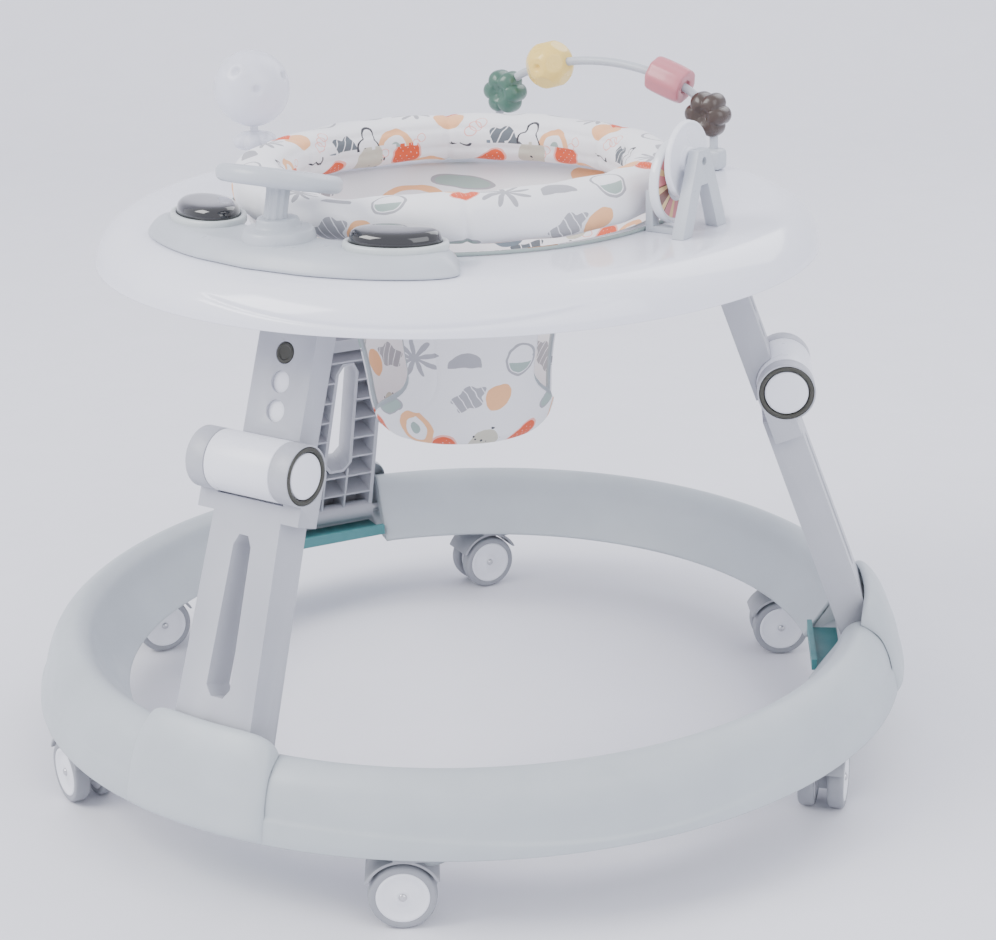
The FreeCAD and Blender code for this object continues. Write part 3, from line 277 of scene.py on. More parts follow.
RING_GREY = plastic("ring_plastic", (0.46, 0.50, 0.525), 0.42, grain=0.12)
COVER_GREY = plastic("cover_plastic", (0.47, 0.51, 0.535), 0.40, grain=0.12)
LEG_GREY = plastic("leg_plastic", (0.44, 0.45, 0.49), 0.40, grain=0.12)
TEAL = plastic("liner_plastic", (0.06, 0.22, 0.23), 0.45)
STEEL = plastic("pin_steel", (0.62, 0.62, 0.64), 0.28, grain=0.2, Metallic=1.0)
CASTER_GREY = plastic("caster_plastic", (0.34, 0.35, 0.38), 0.42)
TREAD_GREY = plastic("wheel_tread", (0.30, 0.31, 0.34), 0.55, grain=0.25)
HUB_WHITE = plastic("wheel_hub", (0.82, 0.83, 0.88), 0.35)
TRAY_WHITE = plastic(
    "tray_plastic", (0.84, 0.85, 0.93), 0.16, shade=0.02, grain=0.02, Coat_Weight=0.5, Coat_Roughness=0.08)
POST_WHITE = plastic("post_plastic", (0.83, 0.84, 0.90), 0.32, shade=0.03)
OLIVE = plastic("button_ring_plastic", (0.045, 0.045, 0.035), 0.30)
PANEL_GREY = plastic("panel_plastic", (0.50, 0.53, 0.57), 0.33, grain=0.08)
RING_PALE = plastic("light_ring_plastic", (0.56, 0.60, 0.60), 0.30)
DOME_BLACK = plastic(
    "dome_plastic", (0.004, 0.004, 0.006), 0.07, grain=0.0, Coat_Weight=1.0, Coat_Roughness=0.03)
CLOUDY = plastic(
    "cloudy_plastic", (0.90, 0.91, 0.98), 0.18, shade=0.02, grain=0.02,
    Transmission_Weight=0.45, IOR=1.25, Coat_Weight=0.4)
BROWN = plastic("brown_bead_plastic", (0.055, 0.036, 0.028), 0.30, Coat_Weight=0.3)
GREEN = plastic("green_bead_plastic", (0.055, 0.14, 0.10), 0.32, Coat_Weight=0.3)
PINK = plastic("pink_bead_plastic", (0.55, 0.19, 0.22), 0.32, Coat_Weight=0.3)
YELLOW = plastic("yellow_bead_plastic", (0.86, 0.62, 0.17), 0.28, Coat_Weight=0.3)
print("plastics:", len(bpy.data.materials))

# %% [markdown]
# ## Moulded parts that the frame already has right
# A leg, a sleeve or a bracket is right in the mechanical model, but its edges are perfectly sharp, and no
# moulding is. A copy of the node is merged, its flat faces are joined again and a small bevel rounds every
# edge, so that the light catches it.

# %% Round the edges of a copied node
def softened(node, width=0.9 * MM, segments=2):
    """A copy of a node with rounded edges."""
    form = bmesh.new()
    form.from_mesh(frame["nodes"][node].data)
    bmesh.ops.remove_doubles(form, verts=form.verts, dist=2e-6)
    bmesh.ops.dissolve_limit(form, angle_limit=np.radians(1.5), verts=form.verts, edges=form.edges)
    mesh = bpy.data.meshes.new(node + "_moulded")
    form.to_mesh(mesh)
    form.free()
    mesh.shade_smooth()
    item = bpy.data.objects.new(node + "_moulded", mesh)
    bpy.context.scene.collection.objects.link(item)
    bevel = item.modifiers.new("edge", "BEVEL")
    bevel.width = width
    bevel.segments = segments
    bevel.limit_method = "ANGLE"
    bevel.angle_limit = np.radians(32)
    bevel.harden_normals = True
    return item


def moulded(node, material, body, slot, width=0.9 * MM):
    return piece(node + "_moulded", softened(node, width), material, body, slot, node)


LEGS = {"front": -90, "right": 30, "left": 150}
for leg in LEGS:
    moulded(f"{leg}_lower_leg", LEG_GREY, f"{leg}_lower", "leg_grey")
    moulded(f"{leg}_leg_sleeve", LEG_GREY, f"{leg}_upper", "leg_grey")
    moulded(f"{leg}_leg_post", POST_WHITE, f"{leg}_upper", "post_white")
moulded("tray_brackets", TRAY_WHITE, "tray", "gloss_white", 0.6 * MM)
for node, finish in (("foot_pivot_pins", STEEL), ("tray_pivot_pins", STEEL), ("foot_liners", TEAL)):
    frame["nodes"][node].data.materials.clear()
    frame["nodes"][node].data.materials.append(finish)
print("moulded copies:", len(made))

# %% [markdown]
# ## The base ring
# The ring is one long hollow moulding: a lip at the floor side, a rounded back over the top and a plain
# inner wall. Its section is a smooth curve that is turned once round. The maker pressed a wavy line into
# it just above the lip, which here is a small step whose height goes up and down with the angle.

# %% Ring section and its wavy line
RING_LOW, RING_HIGH = (corner.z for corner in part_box("base_ring"))
RING_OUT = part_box("base_ring")[1].x
RING_IN = RING_OUT - 71 * MM
CREST_IN = 29 * MM
BACK = [
    (0, 0), (0.6, 7), (3.4, 18), (7.5, 33), (15, 46), (CREST_IN / MM, 54.6), (41, 49), (49, 34),
    (60, 18), (70, 3)]
BACK = [(RING_OUT - x * MM, RING_LOW + z * MM) for x, z in BACK]
WALL = 3 * MM


def ring_section(steps=9):
    """Outer curve from the outer lip over the top to the inner lip, then the inner wall back."""
    outer = smooth_line(BACK, steps)
    ahead = np.gradient(outer, axis=0)
    ahead /= np.linalg.norm(ahead, axis=1)[:, None]
    inner = outer + WALL * np.stack([ahead[:, 1], -ahead[:, 0]], 1) * -1
    inner[:, 1] = np.maximum(inner[:, 1], RING_LOW)
    return outer, inner[::-3]


def ring_surface(steps=540):
    """x = r cos a, y = r sin a with r, z from the section; under the wavy line r grows by 1.3 mm."""
    outer, inner = ring_section()
    angle = np.linspace(0, TAU, steps, endpoint=False)[None, :]
    radius = np.concatenate([outer[:, 0], inner[:, 0]])[:, None] + 0 * angle
    height = np.concatenate([outer[:, 1], inner[:, 1]])[:, None] + 0 * angle
    wave = RING_LOW + (15 + 6 * np.sin(3 * angle + 0.4) + 2.5 * np.sin(6 * angle + 1.9)) * MM
    under = 1 - step_between(wave - 1.6 * MM, wave + 1.6 * MM, height)
    shown = np.zeros(len(radius))[:, None] + 0 * angle
    shown[:len(outer)] = step_between(RING_OUT - 30 * MM, RING_OUT - 14 * MM, outer[:, :1])
    radius = radius + 1.3 * MM * under * shown
    return skin(round_grid(radius, angle, height), wrap_rows=True)


ring = mesh_object("ring_moulding", *ring_surface())
print("ring from", round(RING_IN, 3), "to", round(RING_OUT, 3), "faces", len(ring.data.polygons))

# %% [markdown]
# ### Leg pockets, plates and caster bosses
# Each leg stands in a pocket that is cut through the back of the ring. A cutter with the pocket's shape is
# taken away by a boolean, which is applied at once so that the ring stays one closed moulding. Two thin
# plates close the hollow on both sides of a pocket, and a boss holds each caster's stem.

# %% Cut the pockets and add what is inside the ring
POCKET = np.radians(17.5)
PLATE = np.radians(0.9)


def sector(radii, heights, middle, span, steps=12):
    """A block between two radii and two heights, bent round Z over an angle."""
    angle = middle + np.linspace(-span / 2, span / 2, steps)
    (near, far), (low, high) = radii, heights
    corners = np.array([(near, low), (far, low), (far, high), (near, high)])
    grid = round_grid(corners[None, :, 0], angle[:, None], corners[None, :, 1])
    return skin(grid, start_cap=True, end_cap=True)


def applied(item):
    """The item with its modifiers worked into its mesh."""
    graph = bpy.context.evaluated_depsgraph_get()
    item.data = bpy.data.meshes.new_from_object(item.evaluated_get(graph))
    item.modifiers.clear()
    return item


def taken_away(item, tool):
    """The item less the tool, applied."""
    cut = item.modifiers.new("cut", "BOOLEAN")
    cut.operation = "DIFFERENCE"
    cut.object = tool
    cut.solver = "EXACT"
    bpy.context.view_layer.update()
    applied(item)
    bpy.data.objects.remove(tool)
    return item


cutters = together(*[
    sector((RING_IN - 10 * MM, RING_OUT - 16 * MM), (RING_LOW - 20 * MM, RING_HIGH + 10 * MM),
           np.radians(azimuth), POCKET)
    for azimuth in LEGS.values()])
taken_away(ring, mesh_object("pocket_cutter", *cutters))
piece("ring_moulding", ring, RING_GREY, "base", "ring_grey", "base_ring")


def pocket_plate(middle):
    """A plate that fills the ring's section, 0.9 degrees thick."""
    outer, _ = ring_section(5)
    inset = outer.copy()
    inset[:, 0] += np.where(outer[:, 0] > RING_OUT - CREST_IN, -1.5 * MM, 1.5 * MM)
    inset[:, 1] = np.maximum(inset[:, 1] - 1.5 * MM, RING_LOW)
    angle = middle + np.array([-PLATE / 2, PLATE / 2])
    grid = round_grid(inset[None, :, 0], angle[:, None], inset[None, :, 1])
    return skin(grid, start_cap=True, end_cap=True)


def boss(swivel):
    """A round post over a caster's stem, with a flared foot."""
    x, y = joints[swivel]["pos_m"][:2]
    low, high = RING_LOW - 10 * MM, RING_HIGH - 30 * MM
    profile = smooth_line([(4.3 * MM, low), (13.5 * MM, low), (13 * MM, low + 4 * MM), (12 * MM, high)], 3)
    points, faces = lathe(profile, 32)
    return points + np.array([x, y, 0]), faces


plates = [
    pocket_plate(np.radians(azimuth) + side * (POCKET + PLATE) / 2)
    for azimuth in LEGS.values() for side in (-1, 1)]
bosses = [boss(f"caster_{number}_swivel") for number in range(1, 7)]
piece("ring_plates_and_bosses", together(*plates, *bosses), RING_GREY, "base", "ring_grey")

# %% [markdown]
# ### Socket covers
# A cover is a soft-cornered pad that hugs the ring over each pocket. It is the ring's own section moved out
# by a thickness that is nearly constant and falls to nothing at the rim along a rounded curve.

# %% Three covers
COVER_SPAN = np.radians(21)
COVER_WALL = 5.2 * MM
COVER_GAP = 0.5 * MM
COVER_RISE = 14 * MM


def cover(middle, rows=64, columns=72):
    """Offset from the ring = gap + wall * (1 - s^10)^0.5 * (1 - v^10)^0.5, s and v from -1 to 1."""
    line = smooth_line(BACK[:6], 24)
    length = np.concatenate([[0], np.cumsum(np.linalg.norm(np.diff(line, axis=0), axis=1))])
    v = np.sin(np.linspace(-1, 1, rows) * np.pi / 2)
    s = np.sin(np.linspace(-1, 1, columns) * np.pi / 2)
    along = (v + 1) / 2 * length[-1]
    spot = np.stack([np.interp(along, length, line[:, 0]), np.interp(along, length, line[:, 1])], 1)
    ahead = np.gradient(spot, axis=0)
    ahead /= np.linalg.norm(ahead, axis=1)[:, None]
    out = np.stack([ahead[:, 1], -ahead[:, 0]], 1)
    edge = np.sqrt(1 - np.abs(v)[:, None] ** 10) * np.sqrt(1 - np.abs(s)[None, :] ** 10)
    raised = COVER_RISE * step_between(0.1, 0.95, v)[:, None] * np.sqrt(1 - np.abs(s)[None, :] ** 6)
    angle = middle + s * COVER_SPAN / 2

    def sheet_at(offset):
        radius = spot[:, :1] + offset * out[:, :1]
        height = spot[:, 1:] + offset * out[:, 1:] + raised
        return round_grid(radius, angle, height)

    outer = skin(sheet_at(COVER_GAP + COVER_WALL * edge), wrap_columns=False)
    inner = skin(sheet_at(COVER_GAP + 0 * edge), wrap_columns=False)
    return together(outer, inner)


covers = together(*[cover(np.radians(azimuth)) for azimuth in LEGS.values()])
piece("socket_covers", covers, COVER_GREY, "base", "ring_grey", "leg_socket_covers")
print("ring and covers done")

# %% [markdown]
# ## Casters
# A twin-wheel caster is a hooded fork with two wheels on one axle. A wheel is three pieces of different
# plastic or metal: a soft grey tread, a dished white hub and a small bright cap on the axle's end. Each is
# a turned profile, so it is a lathe shape carried to the axle that the frame gives.

# %% Six casters
WHEEL_WIDE = 12.5 * MM
WHEEL_APART = 10 * MM
WHEEL_ROUND = joints["caster_1_roll"]["pos_m"][2]


def rounded(middle, half, power, steps=40):
    """A closed rounded rectangle: a cos^(2/n) and b sin^(2/n) about a middle, for power n."""
    turn = np.linspace(0, TAU, steps, endpoint=False)
    shape = lambda wave: np.sign(wave) * np.abs(wave) ** (2 / power)
    across, along = shape(np.cos(turn)), shape(np.sin(turn))
    return np.stack([middle[0] + half[0] * across, middle[1] + half[1] * along], 1)


def wheel_parts(frame_at):
    """Tread, hub and cap of one wheel whose outer face looks along the frame's Z."""
    half = WHEEL_WIDE / 2
    tread = lathe(rounded((WHEEL_ROUND - 3.2 * MM, 0), (3.2 * MM, half), 3.2), 64, closed=True)
    hub_line = np.array([
        (3.6, 5.0), (4.6, 5.4), (5.4, 5.0), (6.4, 4.3), (12, 3.9), (14.5, 4.2), (16.4, 5.5), (17.6, 6.1),
        (18.9, 6.0), (19.2, 5.2), (19.2, -5.8), (3.6, -5.8)]) * MM
    hub = lathe(hub_line, 64)
    cap_line = np.array([(0.4, 7.0), (1.8, 6.7), (2.8, 5.8), (3.1, 4.6), (3.1, 3.0)]) * MM
    cap = lathe(smooth_line(cap_line, 4), 32)
    return [placed(part, frame_at) for part in (tread, hub, cap)]


for number in range(1, 7):
    roll = joints[f"caster_{number}_roll"]
    centre, axis = Vector(roll["pos_m"]), Vector(roll["axis"])
    reach = (WHEEL_APART + WHEEL_WIDE) / 2
    sides = [wheel_parts(along_axis(centre + side * reach * axis, side * axis)) for side in (-1, 1)]
    tread, hub, cap = (together(*pair) for pair in zip(*sides))
    axle = placed(lathe([(2.5 * MM, -9 * MM), (2.5 * MM, 9 * MM)], 24), along_axis(centre, axis))
    body = f"caster_{number}_wheels"
    piece(f"caster_{number}_treads", tread, TREAD_GREY, body, "wheel_white", f"caster_wheels_{number}")
    piece(f"caster_{number}_hubs", hub, HUB_WHITE, body, "wheel_white")
    piece(f"caster_{number}_axle", together(cap, axle), STEEL, body, "steel")
    moulded(f"caster_fork_{number}", CASTER_GREY, f"caster_{number}", "caster_grey", 1.1 * MM)
print("casters done")

# %% [markdown]
# ## Knees
# The white middle of a knee barrel turns between the grey ends of the lower leg. In each end sits a dark
# ring and, inside it, a white button with a domed face. They are lathe shapes about the knee's axis.

# %% Barrels, rings and buttons
KNEE_END = 46.3 * MM
LEAN = np.radians(20)


def leg_frame(leg):
    """X along the knee, Y up the leg and Z outwards, with the knee's middle at the origin."""
    knee = joints[f"{leg}_knee_turn"]
    outward = Vector((np.cos(np.radians(LEGS[leg])), np.sin(np.radians(LEGS[leg])), 0))
    up = -np.sin(LEAN) * outward + Vector((0, 0, np.cos(LEAN)))
    return axes_at(knee["pos_m"], knee["axis"], up)


BARREL_LINE = np.array([
    (6.4, -29.8), (21.4, -29.8), (22.2, -29.5), (22.5, -28.7), (22.5, 28.7), (22.2, 29.5), (21.4, 29.8),
    (6.4, 29.8)]) * MM
RING_LINE = rounded((19.3 * MM, -2.6 * MM), (1.95 * MM, 3.1 * MM), 3, 28)
BUTTON_LINE = smooth_line(np.array([
    (16.6, -7.5), (16.7, -1.2), (16.2, -0.1), (14.8, 0.5), (10, 0.9), (5, 1.1), (0.3, 1.15)]) * MM, 4)
HEIGHT_LINE = smooth_line(np.array([
    (7.6, -5.4), (7.6, -0.6), (6.9, 0.2), (5.6, 0.3), (5.0, -0.3), (3, -0.6), (0.2, -0.7)]) * MM, 4)
for leg in LEGS:
    place = leg_frame(leg)
    turn = Matrix.Rotation(np.pi / 2, 4, "Y")
    piece(f"{leg}_knee_middle", placed(lathe(BARREL_LINE, 96), place @ turn),
          POST_WHITE, f"{leg}_upper", "post_white", f"{leg}_knee_barrel")
    rings = []
    for side, letter in ((-1, "a"), (1, "b")):
        axis = side * Vector(joints[f"{leg}_knee_turn"]["axis"])
        end = along_axis(place.translation + KNEE_END * axis, axis)
        rings.append(placed(lathe(RING_LINE, 96, closed=True), end))
        piece(f"{leg}_knee_push_{letter}", placed(lathe(BUTTON_LINE, 96), end),
              POST_WHITE, f"{leg}_knee_button_{letter}", "post_white", f"{leg}_knee_button_{letter}")
    piece(f"{leg}_knee_dark_rings", together(*rings), OLIVE, f"{leg}_lower", "dark_olive",
          f"{leg}_knee_rings_and_pin")
    pad = placed(lathe(HEIGHT_LINE, 48), place @ Matrix.Translation((6 * MM, 83 * MM, -4 * MM)))
    piece(f"{leg}_height_push", pad, OLIVE, f"{leg}_height_button", "dark_olive", f"{leg}_height_button")
print("knees done")

# %% [markdown]
# ## The tray
# The tray is one glossy white shell: flat on top, rolled over at the rim, with a curved line pressed into
# the rim in front. The line is a groove whose height follows a shallow parabola of the angle.

# %% Tray shell
TRAY_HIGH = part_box("tray_top")[1].z
TRAY_IN = 170 * MM


def tray_surface(steps=480):
    """Section turned round Z; the groove moves a point in by 1.3 mm * exp(-(distance / 1.5 mm)^2)."""
    top = smooth_line(np.array([
        (0, -10), (0.2, -3), (3.5, -0.3), (10, 0), (40, 0), (70, 0), (82, -1), (93, -5), (101, -11),
        (106.5, -18), (109.2, -25), (110, -31)]) * MM, 9)
    under = smooth_line(np.array([
        (107, -31), (105, -21), (95, -11), (80, -4), (60, -3), (8, -3), (3.2, -5), (3, -10)]) * MM, 3)
    line = np.vstack([top, under]) + np.array([TRAY_IN, TRAY_HIGH])
    angle = np.linspace(0, TAU, steps, endpoint=False)
    groove_middle, groove_half = np.radians(-64), np.radians(34)
    t = (angle - groove_middle + np.pi) % TAU - np.pi
    path = TRAY_HIGH + (-24 + 12 * (t / groove_half) ** 2) * MM
    near = np.exp(-((line[:, 1:] - path) / (1.5 * MM)) ** 2)
    near *= 1 - step_between(0.75 * groove_half, groove_half, np.abs(t))
    near *= (np.arange(len(line)) < len(top))[:, None]
    radius = line[:, :1] - 1.3 * MM * near
    height = line[:, 1:] - 0.5 * MM * near
    return skin(round_grid(radius, angle, height), wrap_rows=True)


piece("tray_shell", tray_surface(), TRAY_WHITE, "tray", "gloss_white", "tray_top")

# %% [markdown]
# ## The play panel
# The panel is a crescent with soft ends. Its outline is a superellipse in angle and radius, so a row of the
# surface is that outline drawn in by some amount and lifted by another; the last row closes on the
# crescent's middle line. Light rings and the steering foot are turned or oval rows on top of it.

# %% Crescent, light rings, domes and the steering foot
PANEL_LOW, PANEL_TOP = TRAY_HIGH + 0.3 * MM, TRAY_HIGH + 14.2 * MM
PANEL_MIDDLE = np.radians(-92)


def power_wave(wave, power):
    """A sine or cosine raised to 2 / power with its sign kept: the coordinates of a superellipse."""
    return np.sign(wave) * np.abs(wave) ** (2 / power)


def crescent(rows, half_angle, radii, steps=240, power=6.0):
    """Angle = middle + s (half - inset / r), radius = middle + q (half - inset), with s and q on a
    superellipse; rows is a list of (inset, height)."""
    turn = np.linspace(0, TAU, steps, endpoint=False)
    s, q = power_wave(np.cos(turn), power), power_wave(np.sin(turn), power)
    middle, half = sum(radii) / 2, (radii[1] - radii[0]) / 2
    inset, height = rows[:, :1], rows[:, 1:]
    angle = PANEL_MIDDLE + s * (half_angle - inset / middle)
    radius = middle + q * np.maximum(half - inset, 0)
    return skin(round_grid(radius, angle, height))


PANEL_ROWS = smooth_line(np.array([
    (1, 0), (0, 0.8), (0.6, 3), (4, 8), (8.5, 12), (13, 13.7), (18, 14), (25, 14), (32, 14)]) * MM, 5)
PANEL_ROWS = np.vstack([[(32 * MM, 0)], PANEL_ROWS]) + np.array([0, PANEL_LOW])
panel_form = crescent(PANEL_ROWS, np.radians(38), (182 * MM, 246 * MM))


def oval(rows, place, closed=False, steps=96):
    """Rows of (half length, half width, height) as ellipses x = a cos t, y = b sin t."""
    rows = np.asarray(rows)
    turn = np.linspace(0, TAU, steps, endpoint=False)
    grid = np.stack([rows[:, :1] * np.cos(turn), rows[:, 1:2] * np.sin(turn), rows[:, 2:] + 0 * turn], -1)
    return placed(skin(grid, wrap_rows=closed, end_cap=not closed, start_cap=not closed), place)


DOME_LONG, DOME_WIDE = 33 * MM, 21.5 * MM
RING_ROWS = rounded((2.4 * MM, 0), (2.6 * MM, 3.4 * MM), 2.6, 24)
RING_ROWS = np.stack([DOME_LONG + RING_ROWS[:, 0], DOME_WIDE + RING_ROWS[:, 0], RING_ROWS[:, 1]], 1)
DOME_LINE = smooth_line(np.array([
    (0.4, -4), (0.2, 3), (0.4, 6.4), (1.6, 9.3), (4.2, 11.4), (8, 12.3), (14, 12.7), (20.6, 12.8)]) * MM, 6)
DOME_ROWS = np.stack([DOME_LONG - DOME_LINE[:, 0], DOME_WIDE - DOME_LINE[:, 0], DOME_LINE[:, 1]], 1)
light_rings = []
for name in ("left", "right"):
    node = f"{name}_push_dome"
    middle = sum(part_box(node), Vector()) / 2
    middle.z = PANEL_TOP + 1.2 * MM
    turn = Matrix.Rotation(np.arctan2(middle.y, middle.x) + np.pi / 2, 4, "Z")
    place = Matrix.Translation(middle) @ turn
    light_rings.append(oval(RING_ROWS, place, closed=True))
    piece(f"{name}_dome", oval(DOME_ROWS, place), DOME_BLACK, f"{name}_dome", "dome_black", node)
steering = joints["steering_turn"]
wheel_at, wheel_axis = Vector(steering["pos_m"]), Vector(steering["axis"])
foot_at = Vector((wheel_at.x * 1.02, wheel_at.y * 1.02, PANEL_TOP))
FOOT_LINE = smooth_line(np.array([
    (27, -1), (26.6, 2), (25.6, 5.4), (24, 7.4), (19, 8.1), (16.6, 8.8), (15.6, 11), (14.9, 13.8), (13, 15),
    (4, 15.2)]) * MM, 4)
foot_part = placed(lathe(FOOT_LINE, 72), Matrix.Translation(foot_at))
piece("panel_shell", together(panel_form, foot_part), PANEL_GREY, "tray", "panel_grey", "play_panel")
piece("light_rings", together(*light_rings), RING_PALE, "tray", "panel_grey")

# %% [markdown]
# ### Steering wheel
# A plump rim on three spokes, a hub and a fluted stem. A fluted stem is a lathe shape whose radius swings a
# little with the angle: r (1 + 0.06 cos 10a).

# %% Toy steering wheel
RIM_ROUND, RIM_TUBE = 38.5 * MM, 6.5 * MM


def fluted(profile, flutes, depth, steps=120):
    """A turned profile whose radius is multiplied by 1 + depth cos(flutes * angle)."""
    profile = np.asarray(profile)
    angle = np.linspace(0, TAU, steps, endpoint=False)
    radius = profile[:, :1] * (1 + depth * np.cos(flutes * angle))
    return skin(round_grid(radius, angle, profile[:, 1:]), start_cap=True, end_cap=True)


def spoke(turn):
    """A flat bar from hub to rim, narrower in the middle: half width = (7.5 - 3 sin(pi t)) mm."""
    t = np.linspace(0, 1, 16)
    run = 8 * MM + (RIM_ROUND - 10 * MM) * t
    spot = np.stack([run * np.cos(turn), run * np.sin(turn), -2 * MM + 0 * t], 1)
    across = np.array([-np.sin(turn), np.cos(turn), 0])
    edge = np.linspace(0, TAU, 20, endpoint=False)
    wide = (7.5 - 3 * np.sin(np.pi * t)) * MM
    grid = spot[:, None] + wide[:, None, None] * power_wave(np.cos(edge), 3)[None, :, None] * across
    grid = grid + 3.2 * MM * power_wave(np.sin(edge), 3)[None, :, None] * np.array([0, 0, 1])
    return skin(grid, start_cap=True, end_cap=True)


rim_line = rounded((RIM_ROUND, 0), (RIM_TUBE, RIM_TUBE * 0.95), 2.4, 32)
spokes = [spoke(turn) for turn in np.radians([90, 210, 330])]
hub_line = smooth_line(np.array([(13, -7), (14.6, -4), (14.8, 1), (13.4, 3.8), (9, 4.8), (0.5, 5)]) * MM, 4)
stem_line = smooth_line(np.array([(8.2, -33), (8.2, -10), (9.4, -6)]) * MM, 4)
steering_form = together(
    lathe(rim_line, 128, closed=True), *spokes, lathe(hub_line, 64), fluted(stem_line, 10, 0.06))
piece("steering_ring_and_stem", placed(steering_form, along_axis(wheel_at, wheel_axis)), PANEL_GREY,
      "steering", "panel_grey", "steering_wheel")

# %% [markdown]
# ### Rattle ball and flower bead
# The cloudy ball has small round dimples, worked into the radius as bells exp(-(d / w)^4) about a few
# directions. The bead under it is a six-petalled flower: r = a + b |cos 3t|, with a rounded edge.

# %% Cloudy toys on their post
BALL_AT = Vector(joints["rattle_turn"]["pos_m"])
BALL = 31 * MM


def ball_ways(rows, columns):
    """Unit directions on a grid of latitudes and longitudes."""
    lift = np.linspace(-np.pi / 2, np.pi / 2, rows + 2)[1:-1, None]
    turn = np.linspace(0, TAU, columns, endpoint=False)[None, :]
    return round_grid(np.cos(lift), turn, np.sin(lift))


def dimpled(way, size, directions, depth, width):
    """The radius less depth * exp(-(distance / width)^4) about each direction's point."""
    for direction in directions:
        direction = np.array(direction, float) / np.linalg.norm(direction)
        far = np.linalg.norm((way - direction) * size.max(), axis=-1)
        size = size - depth * np.exp(-(far / width) ** 4)
    return skin(way * size[..., None], start_cap=True, end_cap=True)


def flower(petals, valley, peak, thick, power=2.6, dimple=0.0, rows=26, columns=150):
    """Outline r = valley + (peak - valley) |cos(n t / 2)|^0.7; across the edge r cos^p, z sin^p."""
    turn = np.linspace(0, TAU, columns, endpoint=False)[None, :]
    outline = valley + (peak - valley) * np.abs(np.cos(petals * turn / 2)) ** 0.7
    rise = np.linspace(-np.pi / 2, np.pi / 2, rows + 2)[1:-1, None]
    radius = outline * power_wave(np.cos(rise), power)
    height = thick / 2 * power_wave(np.sin(rise), power) + 0 * turn
    height = height * (1 - dimple * np.exp(-(radius / (0.32 * peak)) ** 4))
    return skin(round_grid(radius, turn, height), start_cap=True, end_cap=True)


HOLES = [(1, -0.9, 0.15), (-1, 0.9, 0.15), (0.9, 1, 0.1), (-0.9, -1, 0.1), (0.2, -1, 0.75), (-1, 0.2, -0.5),
         (1, 0.3, 0.4), (0.1, 1, -0.4)]
ball_way = ball_ways(72, 120)
ball_form = dimpled(ball_way, np.full(ball_way.shape[:2], BALL), HOLES, 3.5 * MM, 3.2 * MM)
piece("cloudy_ball", placed(ball_form, Matrix.Translation(BALL_AT)), CLOUDY, "rattle", "clear_plastic",
      "rattle_ball")
bead_at = Vector(joints["clear_bead_turn"]["pos_m"])
piece("cloudy_flower", placed(flower(6, 14 * MM, 18 * MM, 15 * MM), Matrix.Translation(bead_at)),
      CLOUDY, "clear_bead", "clear_plastic", "clear_flower_bead")
POST_LINE = smooth_line(np.array([
    (22, 0.3), (21.6, 3), (19.5, 6.8), (16, 8.8), (12.4, 10), (10.6, 13), (9, 15), (4, 16), (3.4, 19),
    (3.2, 50)]) * MM, 4)
piece("cloudy_post", placed(lathe(POST_LINE, 64), Matrix.Translation((BALL_AT.x, BALL_AT.y, TRAY_HIGH))),
      CLOUDY, "tray", "clear_plastic", "rattle_post")
print("panel, wheel and rattle done")

# %% [markdown]
# ### Bead arch
# The arch is a grey tube: two uprights, two round corners and a long flat crown. The path is worked out
# from the same radii that the joints of the beads stand on, and each bead sits at its own joint.

# %% Arch tube and beads
arch_low, arch_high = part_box("bead_arch")
ARCH_AT = (arch_low + arch_high) / 2
ARCH_TURN = np.radians(-1.4)
HALF_SPAN, CORNER, SPRING, ARCH_TOP = 107.5 * MM, 45 * MM, 465 * MM, 522 * MM
FLAT = HALF_SPAN - CORNER
RISE = ARCH_TOP - SPRING
CROWN = (FLAT ** 2 + RISE ** 2 - CORNER ** 2) / (2 * (RISE - CORNER))
CROWN_AT = ARCH_TOP - CROWN
MEET = np.arctan2(SPRING - CROWN_AT, FLAT)


def arc(x, z, radius, start, stop, steps):
    """Points x + r cos a, z + r sin a from one angle to another."""
    turn = np.linspace(start, stop, steps)
    return np.stack([x + radius * np.cos(turn), z + radius * np.sin(turn)], 1)


def arch_path():
    """Upright, corner arc, crown arc, corner arc, upright, in the plane y = 0."""
    legs = np.linspace(TRAY_HIGH + 4 * MM, SPRING, 5)[:-1]
    path = np.vstack([
        np.stack([np.full(4, HALF_SPAN), legs], 1),
        arc(FLAT, SPRING, CORNER, 0, MEET, 14)[:-1],
        arc(0, CROWN_AT, CROWN, MEET, np.pi - MEET, 48),
        arc(-FLAT, SPRING, CORNER, np.pi - MEET, np.pi, 14)[1:],
        np.stack([np.full(4, -HALF_SPAN), legs[::-1]], 1)])
    return np.stack([path[:, 0], 0 * path[:, 0], path[:, 1]], 1)


def soft_block(size, power=5.0):
    """Superellipsoid: a cos^p cos^p, b cos^p sin^p, c sin^p, which for a high power is a soft box."""
    lift = np.linspace(-np.pi / 2, np.pi / 2, 26)[1:-1, None]
    turn = np.linspace(0, TAU, 48, endpoint=False)[None, :]
    flat = power_wave(np.cos(lift), power)
    grid = np.stack([
        size[0] * flat * power_wave(np.cos(turn), power), size[1] * flat * power_wave(np.sin(turn), power),
        size[2] * power_wave(np.sin(lift), power) + 0 * turn], -1)
    return skin(grid, start_cap=True, end_cap=True)


